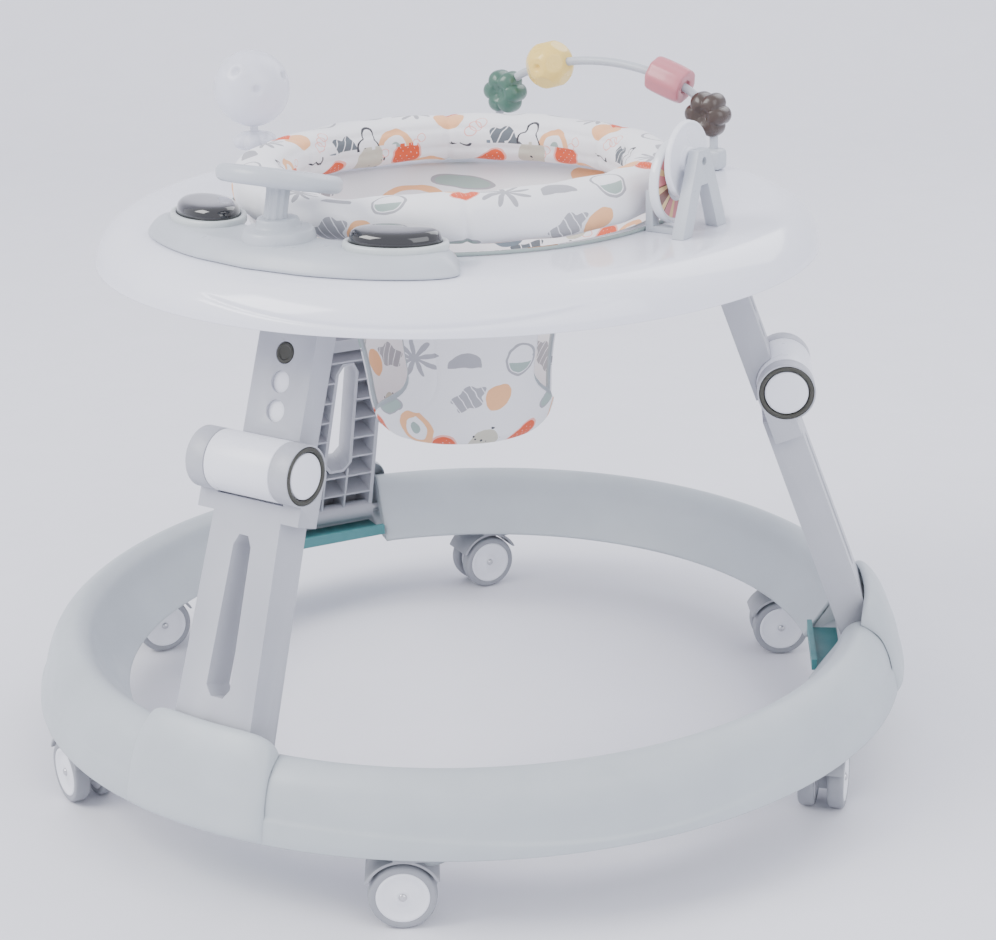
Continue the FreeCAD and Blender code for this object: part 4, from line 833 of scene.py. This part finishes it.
arch_place = Matrix.Translation((ARCH_AT.x, ARCH_AT.y, 0)) @ Matrix.Rotation(ARCH_TURN, 4, "Z")
foot_form = soft_block((9 * MM, 8 * MM, 8.6 * MM))
foot_high = TRAY_HIGH + 8.9 * MM
feet = [placed(foot_form, Matrix.Translation((side * HALF_SPAN, 0, foot_high))) for side in (-1, 1)]
arch_part = placed(together(pipe(arch_path(), 3.5 * MM, 20), *feet), arch_place)
piece("arch_tube_and_feet", arch_part, PANEL_GREY, "tray", "panel_grey", "bead_arch")
ARCH_NORMAL = arch_place.to_3x3() @ Vector((0, 1, 0))


def bead_place(name):
    """Z across the arch and X along the tube at a bead's joint."""
    along = Vector(joints[name]["axis"])
    return axes_at(joints[name]["pos_m"], along, ARCH_NORMAL.cross(along))


for colour, finish in (("brown", BROWN), ("green", GREEN)):
    piece(f"{colour}_flower", placed(flower(6, 14.6 * MM, 19.3 * MM, 25 * MM, 3.0, 0.35),
                                     bead_place(f"{colour}_bead_turn")),
          finish, f"{colour}_bead", f"bead_{colour}", f"{colour}_flower_bead")
BARREL_BEAD = smooth_line(np.array([
    (5.4, -14), (6.4, -16), (12.4, -16.2), (14.3, -14.6), (15, -10), (15.2, 0), (15, 10), (14.3, 14.6),
    (12.4, 16.2), (6.4, 16), (5.4, 14)]) * MM, 4)
pink_joint = joints["pink_bead_turn"]
pink_place = along_axis(pink_joint["pos_m"], pink_joint["axis"])
piece("pink_barrel", placed(fluted(BARREL_BEAD, 8, 0.025), pink_place), PINK,
      "pink_bead", "bead_pink", "pink_cylinder_bead")


def facet_ball(radius):
    """A ball cut flat by planes: along a direction the radius is the least of r and each plane's
    distance divided by the cosine to that plane."""
    way = ball_ways(72, 144)
    steps = (-1, 0, 1)
    ways = [(x, y, z) for x in steps for y in steps for z in steps]
    flats = [spot for spot in ways if sum(map(abs, spot)) in (1, 2)]
    size = np.full(way.shape[:2], radius)
    for flat in flats:
        flat = np.array(flat, float) / np.linalg.norm(flat)
        size = np.minimum(size, 0.93 * radius / np.maximum(way @ flat, 0.2))
    holes = [(0, 0, 1), (0, 0, -1), (0.5, 0.5, 0.7), (-0.5, 0.5, 0.7), (0.5, -0.5, -0.7)]
    return dimpled(way, size, holes, 2.6 * MM, 2.8 * MM)


piece("yellow_ball", placed(facet_ball(20.5 * MM), bead_place("yellow_bead_turn")), YELLOW, "yellow_bead",
      "bead_yellow", "yellow_ball_bead")

# %% [markdown]
# ### Spinner
# Two discs turn on a small stand. The white one is dished; the other has a bright mirror in the middle and
# coloured sectors round it, which the shader works out from the angle and the distance to its axle.

# %% Spinner stand and discs
moulded("spinner_stand", PANEL_GREY, "tray", "panel_grey", 1.6 * MM)
white_at = Vector(joints["white_disc_turn"]["pos_m"])
WHITE_LINE = smooth_line(np.array([
    (2.8, 5), (3.4, 6.6), (8, 6.4), (9.4, 4.6), (10, 2.6), (18, 2.2), (24, 3.2), (26.6, 4.6), (28, 4.0),
    (28, 1.2), (26, 0), (3, 0)]) * MM, 4)
axle_part = placed(lathe([(3 * MM, -11 * MM), (3 * MM, 6 * MM)], 24), along_axis(white_at, (1, 0, 0)))
disc_part = placed(lathe(WHITE_LINE, 96), along_axis(white_at - Vector((1 * MM, 0, 0)), (1, 0, 0)))
piece("white_dished_disc", together(disc_part, axle_part), POST_WHITE, "white_disc", "gloss_white",
      "white_spinner_disc")


def sum_node(tree, kind, operation, values):
    """A node that works something out; a value may be plain or another node's socket."""
    node = tree.nodes.new(kind)
    node.operation = operation
    for socket, value in zip(node.inputs, values):
        if isinstance(value, bpy.types.NodeSocket):
            tree.links.new(value, socket)
        else:
            socket.default_value = value
    return node


def node_math(tree, operation, first, second=0.0):
    return sum_node(tree, "ShaderNodeMath", operation, (first, second)).outputs[0]


def disc_print(name, centre):
    """Mirror in the middle, a pale band, coloured sectors and a white rim, by distance and angle."""
    finish = plastic(name, (0.80, 0.80, 0.84), 0.22, Coat_Weight=0.6)
    tree = finish.node_tree
    shader = tree.nodes["Principled BSDF"]
    where = tree.nodes.new("ShaderNodeTexCoord").outputs["Object"]
    split = tree.nodes.new("ShaderNodeSeparateXYZ")
    tree.links.new(where, split.inputs[0])
    y = node_math(tree, "SUBTRACT", split.outputs["Y"], centre.y)
    z = node_math(tree, "SUBTRACT", split.outputs["Z"], centre.z)
    far = node_math(tree, "SQRT", node_math(tree, "ADD", node_math(tree, "MULTIPLY", y, y),
                                             node_math(tree, "MULTIPLY", z, z)))
    angle = node_math(tree, "ARCTAN2", z, y)
    sector_wave = node_math(tree, "SINE", node_math(tree, "MULTIPLY", angle, 4.0))
    inner_wave = node_math(tree, "SINE", node_math(tree, "MULTIPLY", angle, 12.0))
    pinks = blend_colours(
        tree, node_math(tree, "GREATER_THAN", sector_wave, 0.0), (0.72, 0.25, 0.27), (0.22, 0.10, 0.08))
    dots = blend_colours(tree, node_math(tree, "GREATER_THAN", inner_wave, 0.5), pinks, (0.86, 0.62, 0.30))
    band = node_math(tree, "LESS_THAN", far, 27.5 * MM)
    colour = blend_colours(tree, band, (0.78, 0.80, 0.84), dots)
    colour = blend_colours(tree, node_math(tree, "LESS_THAN", far, 15 * MM), colour, (0.80, 0.83, 0.86))
    tree.links.new(colour, shader.inputs["Base Color"])
    mirror = node_math(tree, "LESS_THAN", far, 12.5 * MM)
    tree.links.new(mirror, shader.inputs["Metallic"])
    return finish


picture_at = Vector(joints["picture_disc_turn"]["pos_m"])
PICTURE_LINE = smooth_line(np.array([
    (2.9, -4), (12.2, -4), (13, -3.2), (27.8, -3.2), (29.4, -4), (31, -2.4), (31, 2.4), (29.4, 4),
    (27.8, 3.2), (13, 3.2), (12.2, 4), (2.9, 4)]) * MM, 3)
picture_axle = placed(lathe([(3 * MM, -13 * MM), (3 * MM, 1 * MM)], 24), along_axis(picture_at, (1, 0, 0)))
picture_part = placed(lathe(PICTURE_LINE, 96), along_axis(picture_at, (1, 0, 0)))
piece("picture_disc", together(picture_part, picture_axle), disc_print("picture_print", picture_at),
      "picture_disc", "picture", "picture_spinner_disc")
print("arch and spinner done")

# %% [markdown]
# ## The seat
# The padded rim is blown up like a real cushion: a voxel remesh gives its skin even squares and Blender's
# cloth swells it with a little pressure. Seams come after that, because a remesh would rub them out. The
# hanging seat is a front and a back panel that meet at the sides and close the bottom. Between them are
# two leg openings, wide under the tray and pointed at the bottom, each edged with a grey tape.

# %% The printed cloth
TILE = 159.0


def vector_math(tree, operation, *values):
    """A vector sum of sockets or of plain triples."""
    node = sum_node(tree, "ShaderNodeVectorMath", operation, values)
    return node.outputs["Value" if operation == "LENGTH" else "Vector"]


def motif(tree, place, centre, size, turn=0.0):
    """Coordinates about one motif, 1 at the edge of its ellipse; centre and size are in millimetres."""
    near = vector_math(tree, "SUBTRACT", place, (centre[0] / TILE, centre[1] / TILE, 0))
    near = vector_math(tree, "WRAP", near, (0.5, 0.5, 0.5), (-0.5, -0.5, -0.5))
    own = tree.nodes.new("ShaderNodeMapping")
    own.vector_type = "TEXTURE"
    own.inputs["Rotation"].default_value = (0, 0, np.radians(turn))
    own.inputs["Scale"].default_value = (size[0] / TILE, size[1] / TILE, 1)
    tree.links.new(near, own.inputs["Vector"])
    split = tree.nodes.new("ShaderNodeSeparateXYZ")
    tree.links.new(own.outputs["Vector"], split.inputs[0])
    away = vector_math(tree, "LENGTH", own.outputs["Vector"])
    return away, split.outputs["X"], split.outputs["Y"]


def below(tree, value, limit):
    return node_math(tree, "LESS_THAN", value, limit)


def both(tree, first, second):
    return node_math(tree, "MULTIPLY", first, second)


def lobed(tree, field, count, depth):
    """Distance in a flower shape: the ellipse's distance over 1 + depth cos(count a)."""
    away, x, y = field
    wave = node_math(tree, "COSINE", node_math(tree, "MULTIPLY", node_math(tree, "ARCTAN2", y, x), count))
    swing = node_math(tree, "ADD", node_math(tree, "MULTIPLY", wave, depth), 1.0)
    return node_math(tree, "DIVIDE", away, swing)


def band(tree, value, middle, half):
    """1 where a value is within half of the middle."""
    return below(tree, node_math(tree, "ABSOLUTE", node_math(tree, "SUBTRACT", value, middle)), half)


def stripes(tree, value, count, thin):
    """1 on thin lines, count of them for each unit of the value."""
    return below(tree, node_math(tree, "FRACT", node_math(tree, "MULTIPLY", value, count)), thin)


RED, ROSE, PEACH = (0.72, 0.10, 0.035), (0.88, 0.42, 0.36), (0.88, 0.47, 0.24)
SAGE, SLATE, SMOKE = (0.34, 0.43, 0.40), (0.13, 0.15, 0.17), (0.38, 0.38, 0.41)
INK, SAND, CLOTH_WHITE = (0.05, 0.05, 0.06), (0.56, 0.54, 0.45), (0.86, 0.86, 0.89)
PEACH_DISCS = (((20, 42), 14, 20), ((112, 150), 12, 50))
RINGS = (((74, 66), (17, 15), 10), ((40, 122), (15, 17), 70))
RED_BLOBS = (((62, 104), (14, 11), 40), ((142, 112), (15, 8), 25), ((21, 26), (9, 7), 0))
CLOUDS = (((124, 66), (18, 12), -35), ((88, 150), (14, 9), 30))
CROWNS = (((101, 60), 10), ((10, 90), 9))
SQUIGGLES = (((150, 48), 5), ((84, 100), 4.5), ((48, 60), 4))


def printed_cloth(name):
    """Cotton with a loose print: blobs, rings, striped clouds, outlines and brush stars on white."""
    finish = bpy.data.materials.new(name)
    finish.use_nodes = True
    tree = finish.node_tree
    shader = tree.nodes["Principled BSDF"]
    sheet = tree.nodes.new("ShaderNodeTexCoord")
    hand = tree.nodes.new("ShaderNodeTexNoise")
    hand.inputs["Scale"].default_value = 9
    tree.links.new(sheet.outputs["UV"], hand.inputs["Vector"])
    shake = vector_math(tree, "MULTIPLY", vector_math(
        tree, "SUBTRACT", hand.outputs["Color"], (0.5, 0.5, 0.5)), (0.035, 0.035, 0))
    place = vector_math(tree, "ADD", sheet.outputs["UV"], shake)
    colour = CLOTH_WHITE

    def lay(mask, paint):
        nonlocal colour
        colour = blend_colours(tree, mask, colour, paint)

    for centre, size, turn in PEACH_DISCS:
        away, _, _ = motif(tree, place, centre, (size, size - 2), turn)
        lay(below(tree, away, 1.0), PEACH)
    for centre, size, turn in RED_BLOBS:
        away, x, y = motif(tree, place, centre, size, turn)
        lay(below(tree, away, 1.14), ROSE)
        lay(below(tree, away, 1.0), RED)
        specks = both(tree, stripes(tree, x, 3.0, 0.14), stripes(tree, y, 2.5, 0.14))
        lay(both(tree, specks, below(tree, away, 0.8)), CLOTH_WHITE)
    for centre, size, turn in RINGS:
        away, _, _ = motif(tree, place, centre, size, turn)
        lay(below(tree, away, 1.0), PEACH)
        lay(below(tree, away, 0.66), CLOTH_WHITE)
        lay(below(tree, away, 0.30), SAGE)
    for centre, size, turn in CLOUDS:
        field = motif(tree, place, centre, size, turn)
        away = lobed(tree, field, 5.0, 0.16)
        lay(below(tree, away, 1.0), SMOKE if centre[0] < 100 else SLATE)
        lay(both(tree, below(tree, away, 1.0), stripes(tree, field[1], 2.2, 0.12)), CLOTH_WHITE)
    for centre, size in CROWNS:
        away = lobed(tree, motif(tree, place, centre, (size, size), 20), 3.0, 0.32)
        lay(band(tree, away, 1.0, 0.10), INK)
    for centre, size in SQUIGGLES:
        for step in range(3):
            away, _, _ = motif(tree, place, (centre[0] + 5 * step, centre[1] + 4 * step), (size, size - 1))
            lay(band(tree, away, 1.0, 0.09), ROSE)
    away, x, y = motif(tree, place, (100, 106), (17, 13), 60)
    lay(below(tree, away, 1.0), SAND)
    dots = tree.nodes.new("ShaderNodeTexVoronoi")
    dots.inputs["Scale"].default_value = 22
    tree.links.new(place, dots.inputs["Vector"])
    lay(both(tree, below(tree, dots.outputs["Distance"], 0.22), below(tree, away, 1.15)), INK)
    star = motif(tree, place, (48, 26), (19, 17), 10)
    lay(both(tree, below(tree, star[0], 1.0), below(tree, lobed(tree, star, 9.0, 0.62), 0.62)), SMOKE)
    away, _, y = motif(tree, place, (86, 20), (13, 11))
    lay(both(tree, below(tree, away, 1.0), below(tree, node_math(tree, "MULTIPLY", y, -1.0), 0.2)), SMOKE)
    away, _, y = motif(tree, place, (128, 20), (12, 13))
    lay(both(tree, below(tree, away, 0.85), below(tree, y, -0.15)), SAGE)
    lay(band(tree, away, 1.0, 0.08), SMOKE)
    away, _, y = motif(tree, place, (14, 138), (15, 7), 20)
    lay(below(tree, away, 1.0), SAGE)
    lay(band(tree, away, 1.0, 0.08), SMOKE)
    away, _, _ = motif(tree, place, (142, 84), (13, 12))
    lay(below(tree, away, 1.0), (0.16, 0.20, 0.24))

    tree.links.new(colour, shader.inputs["Base Color"])
    shader.inputs["Roughness"].default_value = 0.86
    shader.inputs["Sheen Weight"].default_value = 0.12
    weave = tree.nodes.new("ShaderNodeBump")
    weave.inputs["Strength"].default_value = 0.3
    weave.inputs["Distance"].default_value = 0.0003
    tree.links.new(noise(tree, sheet.outputs["Object"], 1300, 2), weave.inputs["Height"])
    tree.links.new(weave.outputs["Normal"], shader.inputs["Normal"])
    return finish


PRINT = printed_cloth("printed_cotton")
TAPE = plastic("binding_tape", (0.36, 0.40, 0.42), 0.85, shade=0.05, grain=0.35, grain_size=1500)
EDGE_PIPING = plastic("piping_tape", (0.30, 0.36, 0.35), 0.85, grain=0.35, grain_size=1500)

# %% The padded rim
PAD_MIDDLE = (152 * MM, TRAY_HIGH + 22 * MM)
PAD_HALF = (21 * MM, 18.5 * MM)
PAD_OUT = 178 * MM
PAD_ROUND = 20.5
PAD_SEAMS = 6


def swollen(item, voxel=5 * MM, cap=6 * MM, pressure=4.0):
    """Even squares, then twenty frames of cloth with pressure inside; no point moves past the cap."""
    remesh = item.modifiers.new("even", "REMESH")
    remesh.mode, remesh.voxel_size = "VOXEL", voxel
    rest = coordinates(applied(item).data)
    cloth = item.modifiers.new("air", "CLOTH")
    cloth.settings.use_pressure = True
    cloth.settings.uniform_pressure_force = pressure
    cloth.settings.effector_weights.gravity = 0
    for number in range(1, 21):
        bpy.context.scene.frame_set(number)
    applied(item)
    bpy.context.scene.frame_set(1)
    moved = coordinates(item.data) - rest
    length = np.linalg.norm(moved, axis=1, keepdims=True)
    move_points(item.data, rest + moved * np.minimum(1, cap / np.maximum(length, 1e-9)))
    finer = item.modifiers.new("finer", "SUBSURF")
    finer.levels = finer.render_levels = 1
    applied(item).data.shade_smooth()
    return item


def coordinates(mesh):
    spots = np.empty(len(mesh.vertices) * 3)
    mesh.vertices.foreach_get("co", spots)
    return spots.reshape(-1, 3)


def move_points(mesh, spots):
    mesh.vertices.foreach_set("co", spots.ravel())
    mesh.update()


def whole_numbers(items, what):
    values = np.empty(len(items), int)
    items.foreach_get(what, values)
    return values


def pad_turns(spots):
    """Azimuth about Z, distance from Z and turn about the pad's own middle line."""
    out = np.hypot(spots[:, 0], spots[:, 1])
    turn = np.arctan2(spots[:, 2] - PAD_MIDDLE[1], out - PAD_MIDDLE[0])
    return np.arctan2(spots[:, 1], spots[:, 0]), out, turn


def lay_cloth_round(mesh, tiles):
    """A UV map from the azimuth and the turn, in tiles for a full turn, with no face cut by the wrap."""
    azimuth, _, turn = pad_turns(coordinates(mesh))
    angles = np.stack([azimuth, turn], 1)[whole_numbers(mesh.loops, "vertex_index")]
    first = whole_numbers(mesh.polygons, "loop_start")
    start = np.repeat(angles[first], whole_numbers(mesh.polygons, "loop_total"), axis=0)
    angles = start + (angles - start + np.pi) % TAU - np.pi
    mesh.uv_layers.new(name="cloth").data.foreach_set("uv", (angles / TAU * np.array(tiles)).ravel())


pad = mesh_object("seat_rim", *lathe(rounded(PAD_MIDDLE, PAD_HALF, 2.6), 144, closed=True))
pad = swollen(pad)
spots = coordinates(pad.data)
azimuth, out, turn = pad_turns(spots)
seam_angle = TAU / PAD_SEAMS
aside = ((azimuth - np.radians(8) + seam_angle / 2) % seam_angle - seam_angle / 2) * out
dent = 1.8 * MM * np.exp(-(aside / (2.2 * MM)) ** 2)
for channel in (np.radians(150), np.radians(196)):
    dent += 1.6 * MM * np.exp(-((turn - channel + np.pi) % TAU - np.pi) ** 2 / 0.10 ** 2)
dent -= 0.7 * MM * np.sin(7 * azimuth + 1.3) * np.sin(2 * turn) + 0.5 * MM * np.sin(17 * azimuth + 3 * turn)
out = out - dent * np.cos(turn)
spots[:, 2] -= dent * np.sin(turn)
lean = (azimuth - np.radians(-92) + np.pi) % TAU - np.pi
dip = 9 * MM * np.exp(-(lean / np.radians(20)) ** 2)
spots[:, 2] -= dip * step_between(PAD_MIDDLE[1] - 10 * MM, PAD_MIDDLE[1] + 16 * MM, spots[:, 2])
spots[:, 2] = np.clip(spots[:, 2], TRAY_HIGH + 0.5 * MM, TRAY_HIGH + 45 * MM)
out = np.minimum(out, PAD_OUT - 0.5 * MM)
spots[:, 0], spots[:, 1] = out * np.cos(azimuth), out * np.sin(azimuth)
move_points(pad.data, spots)
lay_cloth_round(pad.data, (PAD_SEAMS, TAU * PAD_ROUND / TILE))
piece("seat_rim", pad, PRINT, "tray", "seat_fabric", "seat_rim_pad")
print("seat rim:", len(pad.data.polygons), "faces")

# %% The hanging seat
SLING_LINE = smooth_line(np.array([
    (160, 441), (136, 421), (112, 401), (95, 387), (88, 364), (81, 332), (74, 300), (69, 279),
    (65, 270), (58, 266), (40, 265.6), (20, 265.4), (0.5, 265.4)]) * MM, 7)
OPENING_TOP, OPENING_BOTTOM = 390 * MM, 267 * MM
FRONT_HALF, REAR_HALF = np.radians(36), np.radians(74)
PANELS = ((np.radians(-48), FRONT_HALF), (np.radians(132), REAR_HALF))


def panel_angle(height, half):
    """Half the angle that a panel takes: all of it above the openings, less beside them, and all of it
    again at the bottom."""
    above = step_between(OPENING_TOP - 14 * MM, OPENING_TOP, height)
    under = 1 - step_between(OPENING_BOTTOM, OPENING_BOTTOM + 62 * MM, height)
    return half + (np.pi / 2 - half) * np.maximum(above, under ** 1.6)


def sling_point(panel, share, line):
    """Points of a panel, share running from -1 at its left edge to 1 at its right edge."""
    way, half = panel
    angle = way + share * panel_angle(line[:, 1:], half)
    seam = 1.2 * MM * np.exp(-((share + 0.55) * 60 / 2.4) ** 2)
    seam = seam + 1.2 * MM * np.exp(-((line[:, 1:] - 336 * MM) / (2.2 * MM)) ** 2)
    soft = 0.9 * MM * np.sin(5 * angle) * np.sin(line[:, 1:] / (11 * MM))
    radius = line[:, :1] - (seam - soft) * step_between(30 * MM, 60 * MM, line[:, :1])
    radius = np.minimum(radius, line[:, :1])
    return round_grid(radius, angle, line[:, 1:]), angle


def panel_mesh(name, panel, columns=70):
    """One panel with its UV map: its own width and the length of its profile, in tiles."""
    share = np.linspace(-1, 1, columns)[None, :]
    grid, angle = sling_point(panel, share, SLING_LINE)
    points, faces = skin(grid, wrap_columns=False)
    mesh = bpy.data.meshes.new(name)
    mesh.from_pydata(points.tolist(), [], [face[::-1] for face in faces])
    run = np.concatenate([[0], np.cumsum(np.linalg.norm(np.diff(SLING_LINE, axis=0), axis=1))]) / (TILE * MM)
    flat = np.stack([angle * 80 / TILE, -run[:, None] + 0 * angle], -1).reshape(-1, 2)
    corner = whole_numbers(mesh.loops, "vertex_index")
    mesh.uv_layers.new(name="cloth").data.foreach_set("uv", flat[corner].ravel())
    mesh.shade_smooth()
    return mesh


def taped(edge, inward, half=4.4 * MM, thick=1.7 * MM, steps=12):
    """A flat tape along a closed edge: an ellipse across it, wide along the cloth."""
    ahead = np.roll(edge, -1, 0) - np.roll(edge, 1, 0)
    ahead /= np.linalg.norm(ahead, axis=1)[:, None]
    wide = inward - (inward * ahead).sum(1)[:, None] * ahead
    wide /= np.linalg.norm(wide, axis=1)[:, None]
    lift = np.cross(ahead, wide)
    angle = np.linspace(0, TAU, steps, endpoint=False)[None, :, None]
    grid = edge[:, None] + half * np.cos(angle) * wide[:, None] + thick * np.sin(angle) * lift[:, None]
    return skin(grid, wrap_rows=True)


form = bmesh.new()
for number, panel in enumerate(PANELS):
    form.from_mesh(panel_mesh(f"panel_{number}", panel))
bmesh.ops.remove_doubles(form, verts=form.verts, dist=2e-5)
sling_mesh = bpy.data.meshes.new("hanging_seat")
form.to_mesh(sling_mesh)
form.free()
sling_mesh.shade_smooth()
sling = bpy.data.objects.new("hanging_seat", sling_mesh)
bpy.context.scene.collection.objects.link(sling)
wall = sling.modifiers.new("cloth", "SOLIDIFY")
wall.thickness, wall.offset = 3 * MM, -1
piece("hanging_seat", sling, PRINT, "tray", "seat_fabric", "seat_sling")

beside = (SLING_LINE[:, 1] < OPENING_TOP) & (SLING_LINE[:, 1] > OPENING_BOTTOM + 1 * MM)
edge_line = SLING_LINE[beside]
tapes = []
for first, second in (PANELS, PANELS[::-1]):
    down, _ = sling_point(first, np.full((1, 1), 1.0), edge_line)
    rise, _ = sling_point(second, np.full((1, 1), -1.0), edge_line[::-1])
    edge = np.vstack([down[:, 0], rise[:, 0]])
    middle = edge.mean(0)
    edge = smooth_line(edge[::3], 4, closed=True)
    tapes.append(taped(edge, edge - middle))
piece("leg_opening_tapes", together(*tapes), TAPE, "tray", "seat_fabric")
ring_way = np.linspace(0, TAU, 160, endpoint=False)
piping_line = round_grid(PAD_OUT - 1 * MM, ring_way, TRAY_HIGH + 1.6 * MM)
piece("rim_piping", pipe(piping_line, 1.4 * MM, 12, closed=True), EDGE_PIPING, "tray", "seat_fabric")
print("seat done")

# %% [markdown]
# ## Floor, light and camera
# A pale floor that runs up into a backdrop, three large soft lamps and a bright room give the even, bright
# light of a studio. The camera stands in front and to the right, a little above the tray.

# %% Studio
def stage_sheet():
    """A floor that bends up behind: a quarter circle of radius 1.2 m joins floor and wall."""
    bend = np.linspace(0, np.pi / 2, 24)
    curve = np.stack([2.4 + 1.2 * np.sin(bend), 1.2 * (1 - np.cos(bend))], 1)
    line = np.vstack([[(-6, 0)], curve, [(3.6, 6)]])
    across = np.linspace(-7, 7, 8)
    grid = np.stack([line[:, :1] + 0 * across, 0 * line[:, :1] + across, line[:, 1:] + 0 * across], -1)
    return skin(grid, wrap_columns=False)


VIEW_FROM = Vector((1.03855, -1.44365, 0.836))
VIEW_RIGHT = Vector((0.824854, 0.564856, -0.023624))
VIEW_UP = Vector((-0.166322, 0.282393, 0.944776))
VIEW_BACK = Vector((0.540332, -0.775373, 0.326880))
away = -VIEW_BACK.copy()
away.z = 0
floor_place = axes_at((0, 0, 0), away, Vector((0, 0, 1)).cross(away))
FLOOR = plastic("studio_floor", (0.80, 0.80, 0.85), 0.6, shade=0.01, grain=0.0)
floor = mesh_object("studio_floor", *placed(stage_sheet(), floor_place), fix_normals=False)
floor.data.materials.append(FLOOR)
world = bpy.data.worlds.new("studio")
world.use_nodes = True
world.node_tree.nodes["Background"].inputs["Color"].default_value = (0.90, 0.91, 1.0, 1)
world.node_tree.nodes["Background"].inputs["Strength"].default_value = 1.5
bpy.context.scene.world = world


def lamp(name, place, size, power, colour=(1, 1, 1)):
    """A square soft lamp that looks at the middle of the walker."""
    data = bpy.data.lights.new(name, "AREA")
    data.shape = "SQUARE"
    data.size, data.energy, data.color = size, power, colour
    item = bpy.data.objects.new(name, data)
    item.location = place
    item.rotation_euler = (Vector((0, 0, 0.3)) - Vector(place)).to_track_quat("-Z", "Y").to_euler()
    bpy.context.scene.collection.objects.link(item)


lamp("key_lamp", (-1.6, -2.0, 2.6), 1.8, 95, (1.0, 0.99, 0.97))
lamp("fill_lamp", (2.4, -0.8, 1.9), 2.2, 34, (0.95, 0.97, 1.0))
lamp("back_lamp", (0.4, 2.4, 2.4), 2.0, 36, (0.96, 0.98, 1.0))
camera_data = bpy.data.cameras.new("camera")
camera_data.lens = 84.19
camera_data.sensor_width = 36
camera = bpy.data.objects.new("camera", camera_data)
stand = Matrix((VIEW_RIGHT, VIEW_UP, VIEW_BACK)).transposed().to_4x4()
stand.translation = VIEW_FROM
camera.matrix_world = stand
bpy.context.scene.collection.objects.link(camera)
bpy.context.scene.camera = camera

# %% Count the pieces made
print("pieces made here:", len(made))
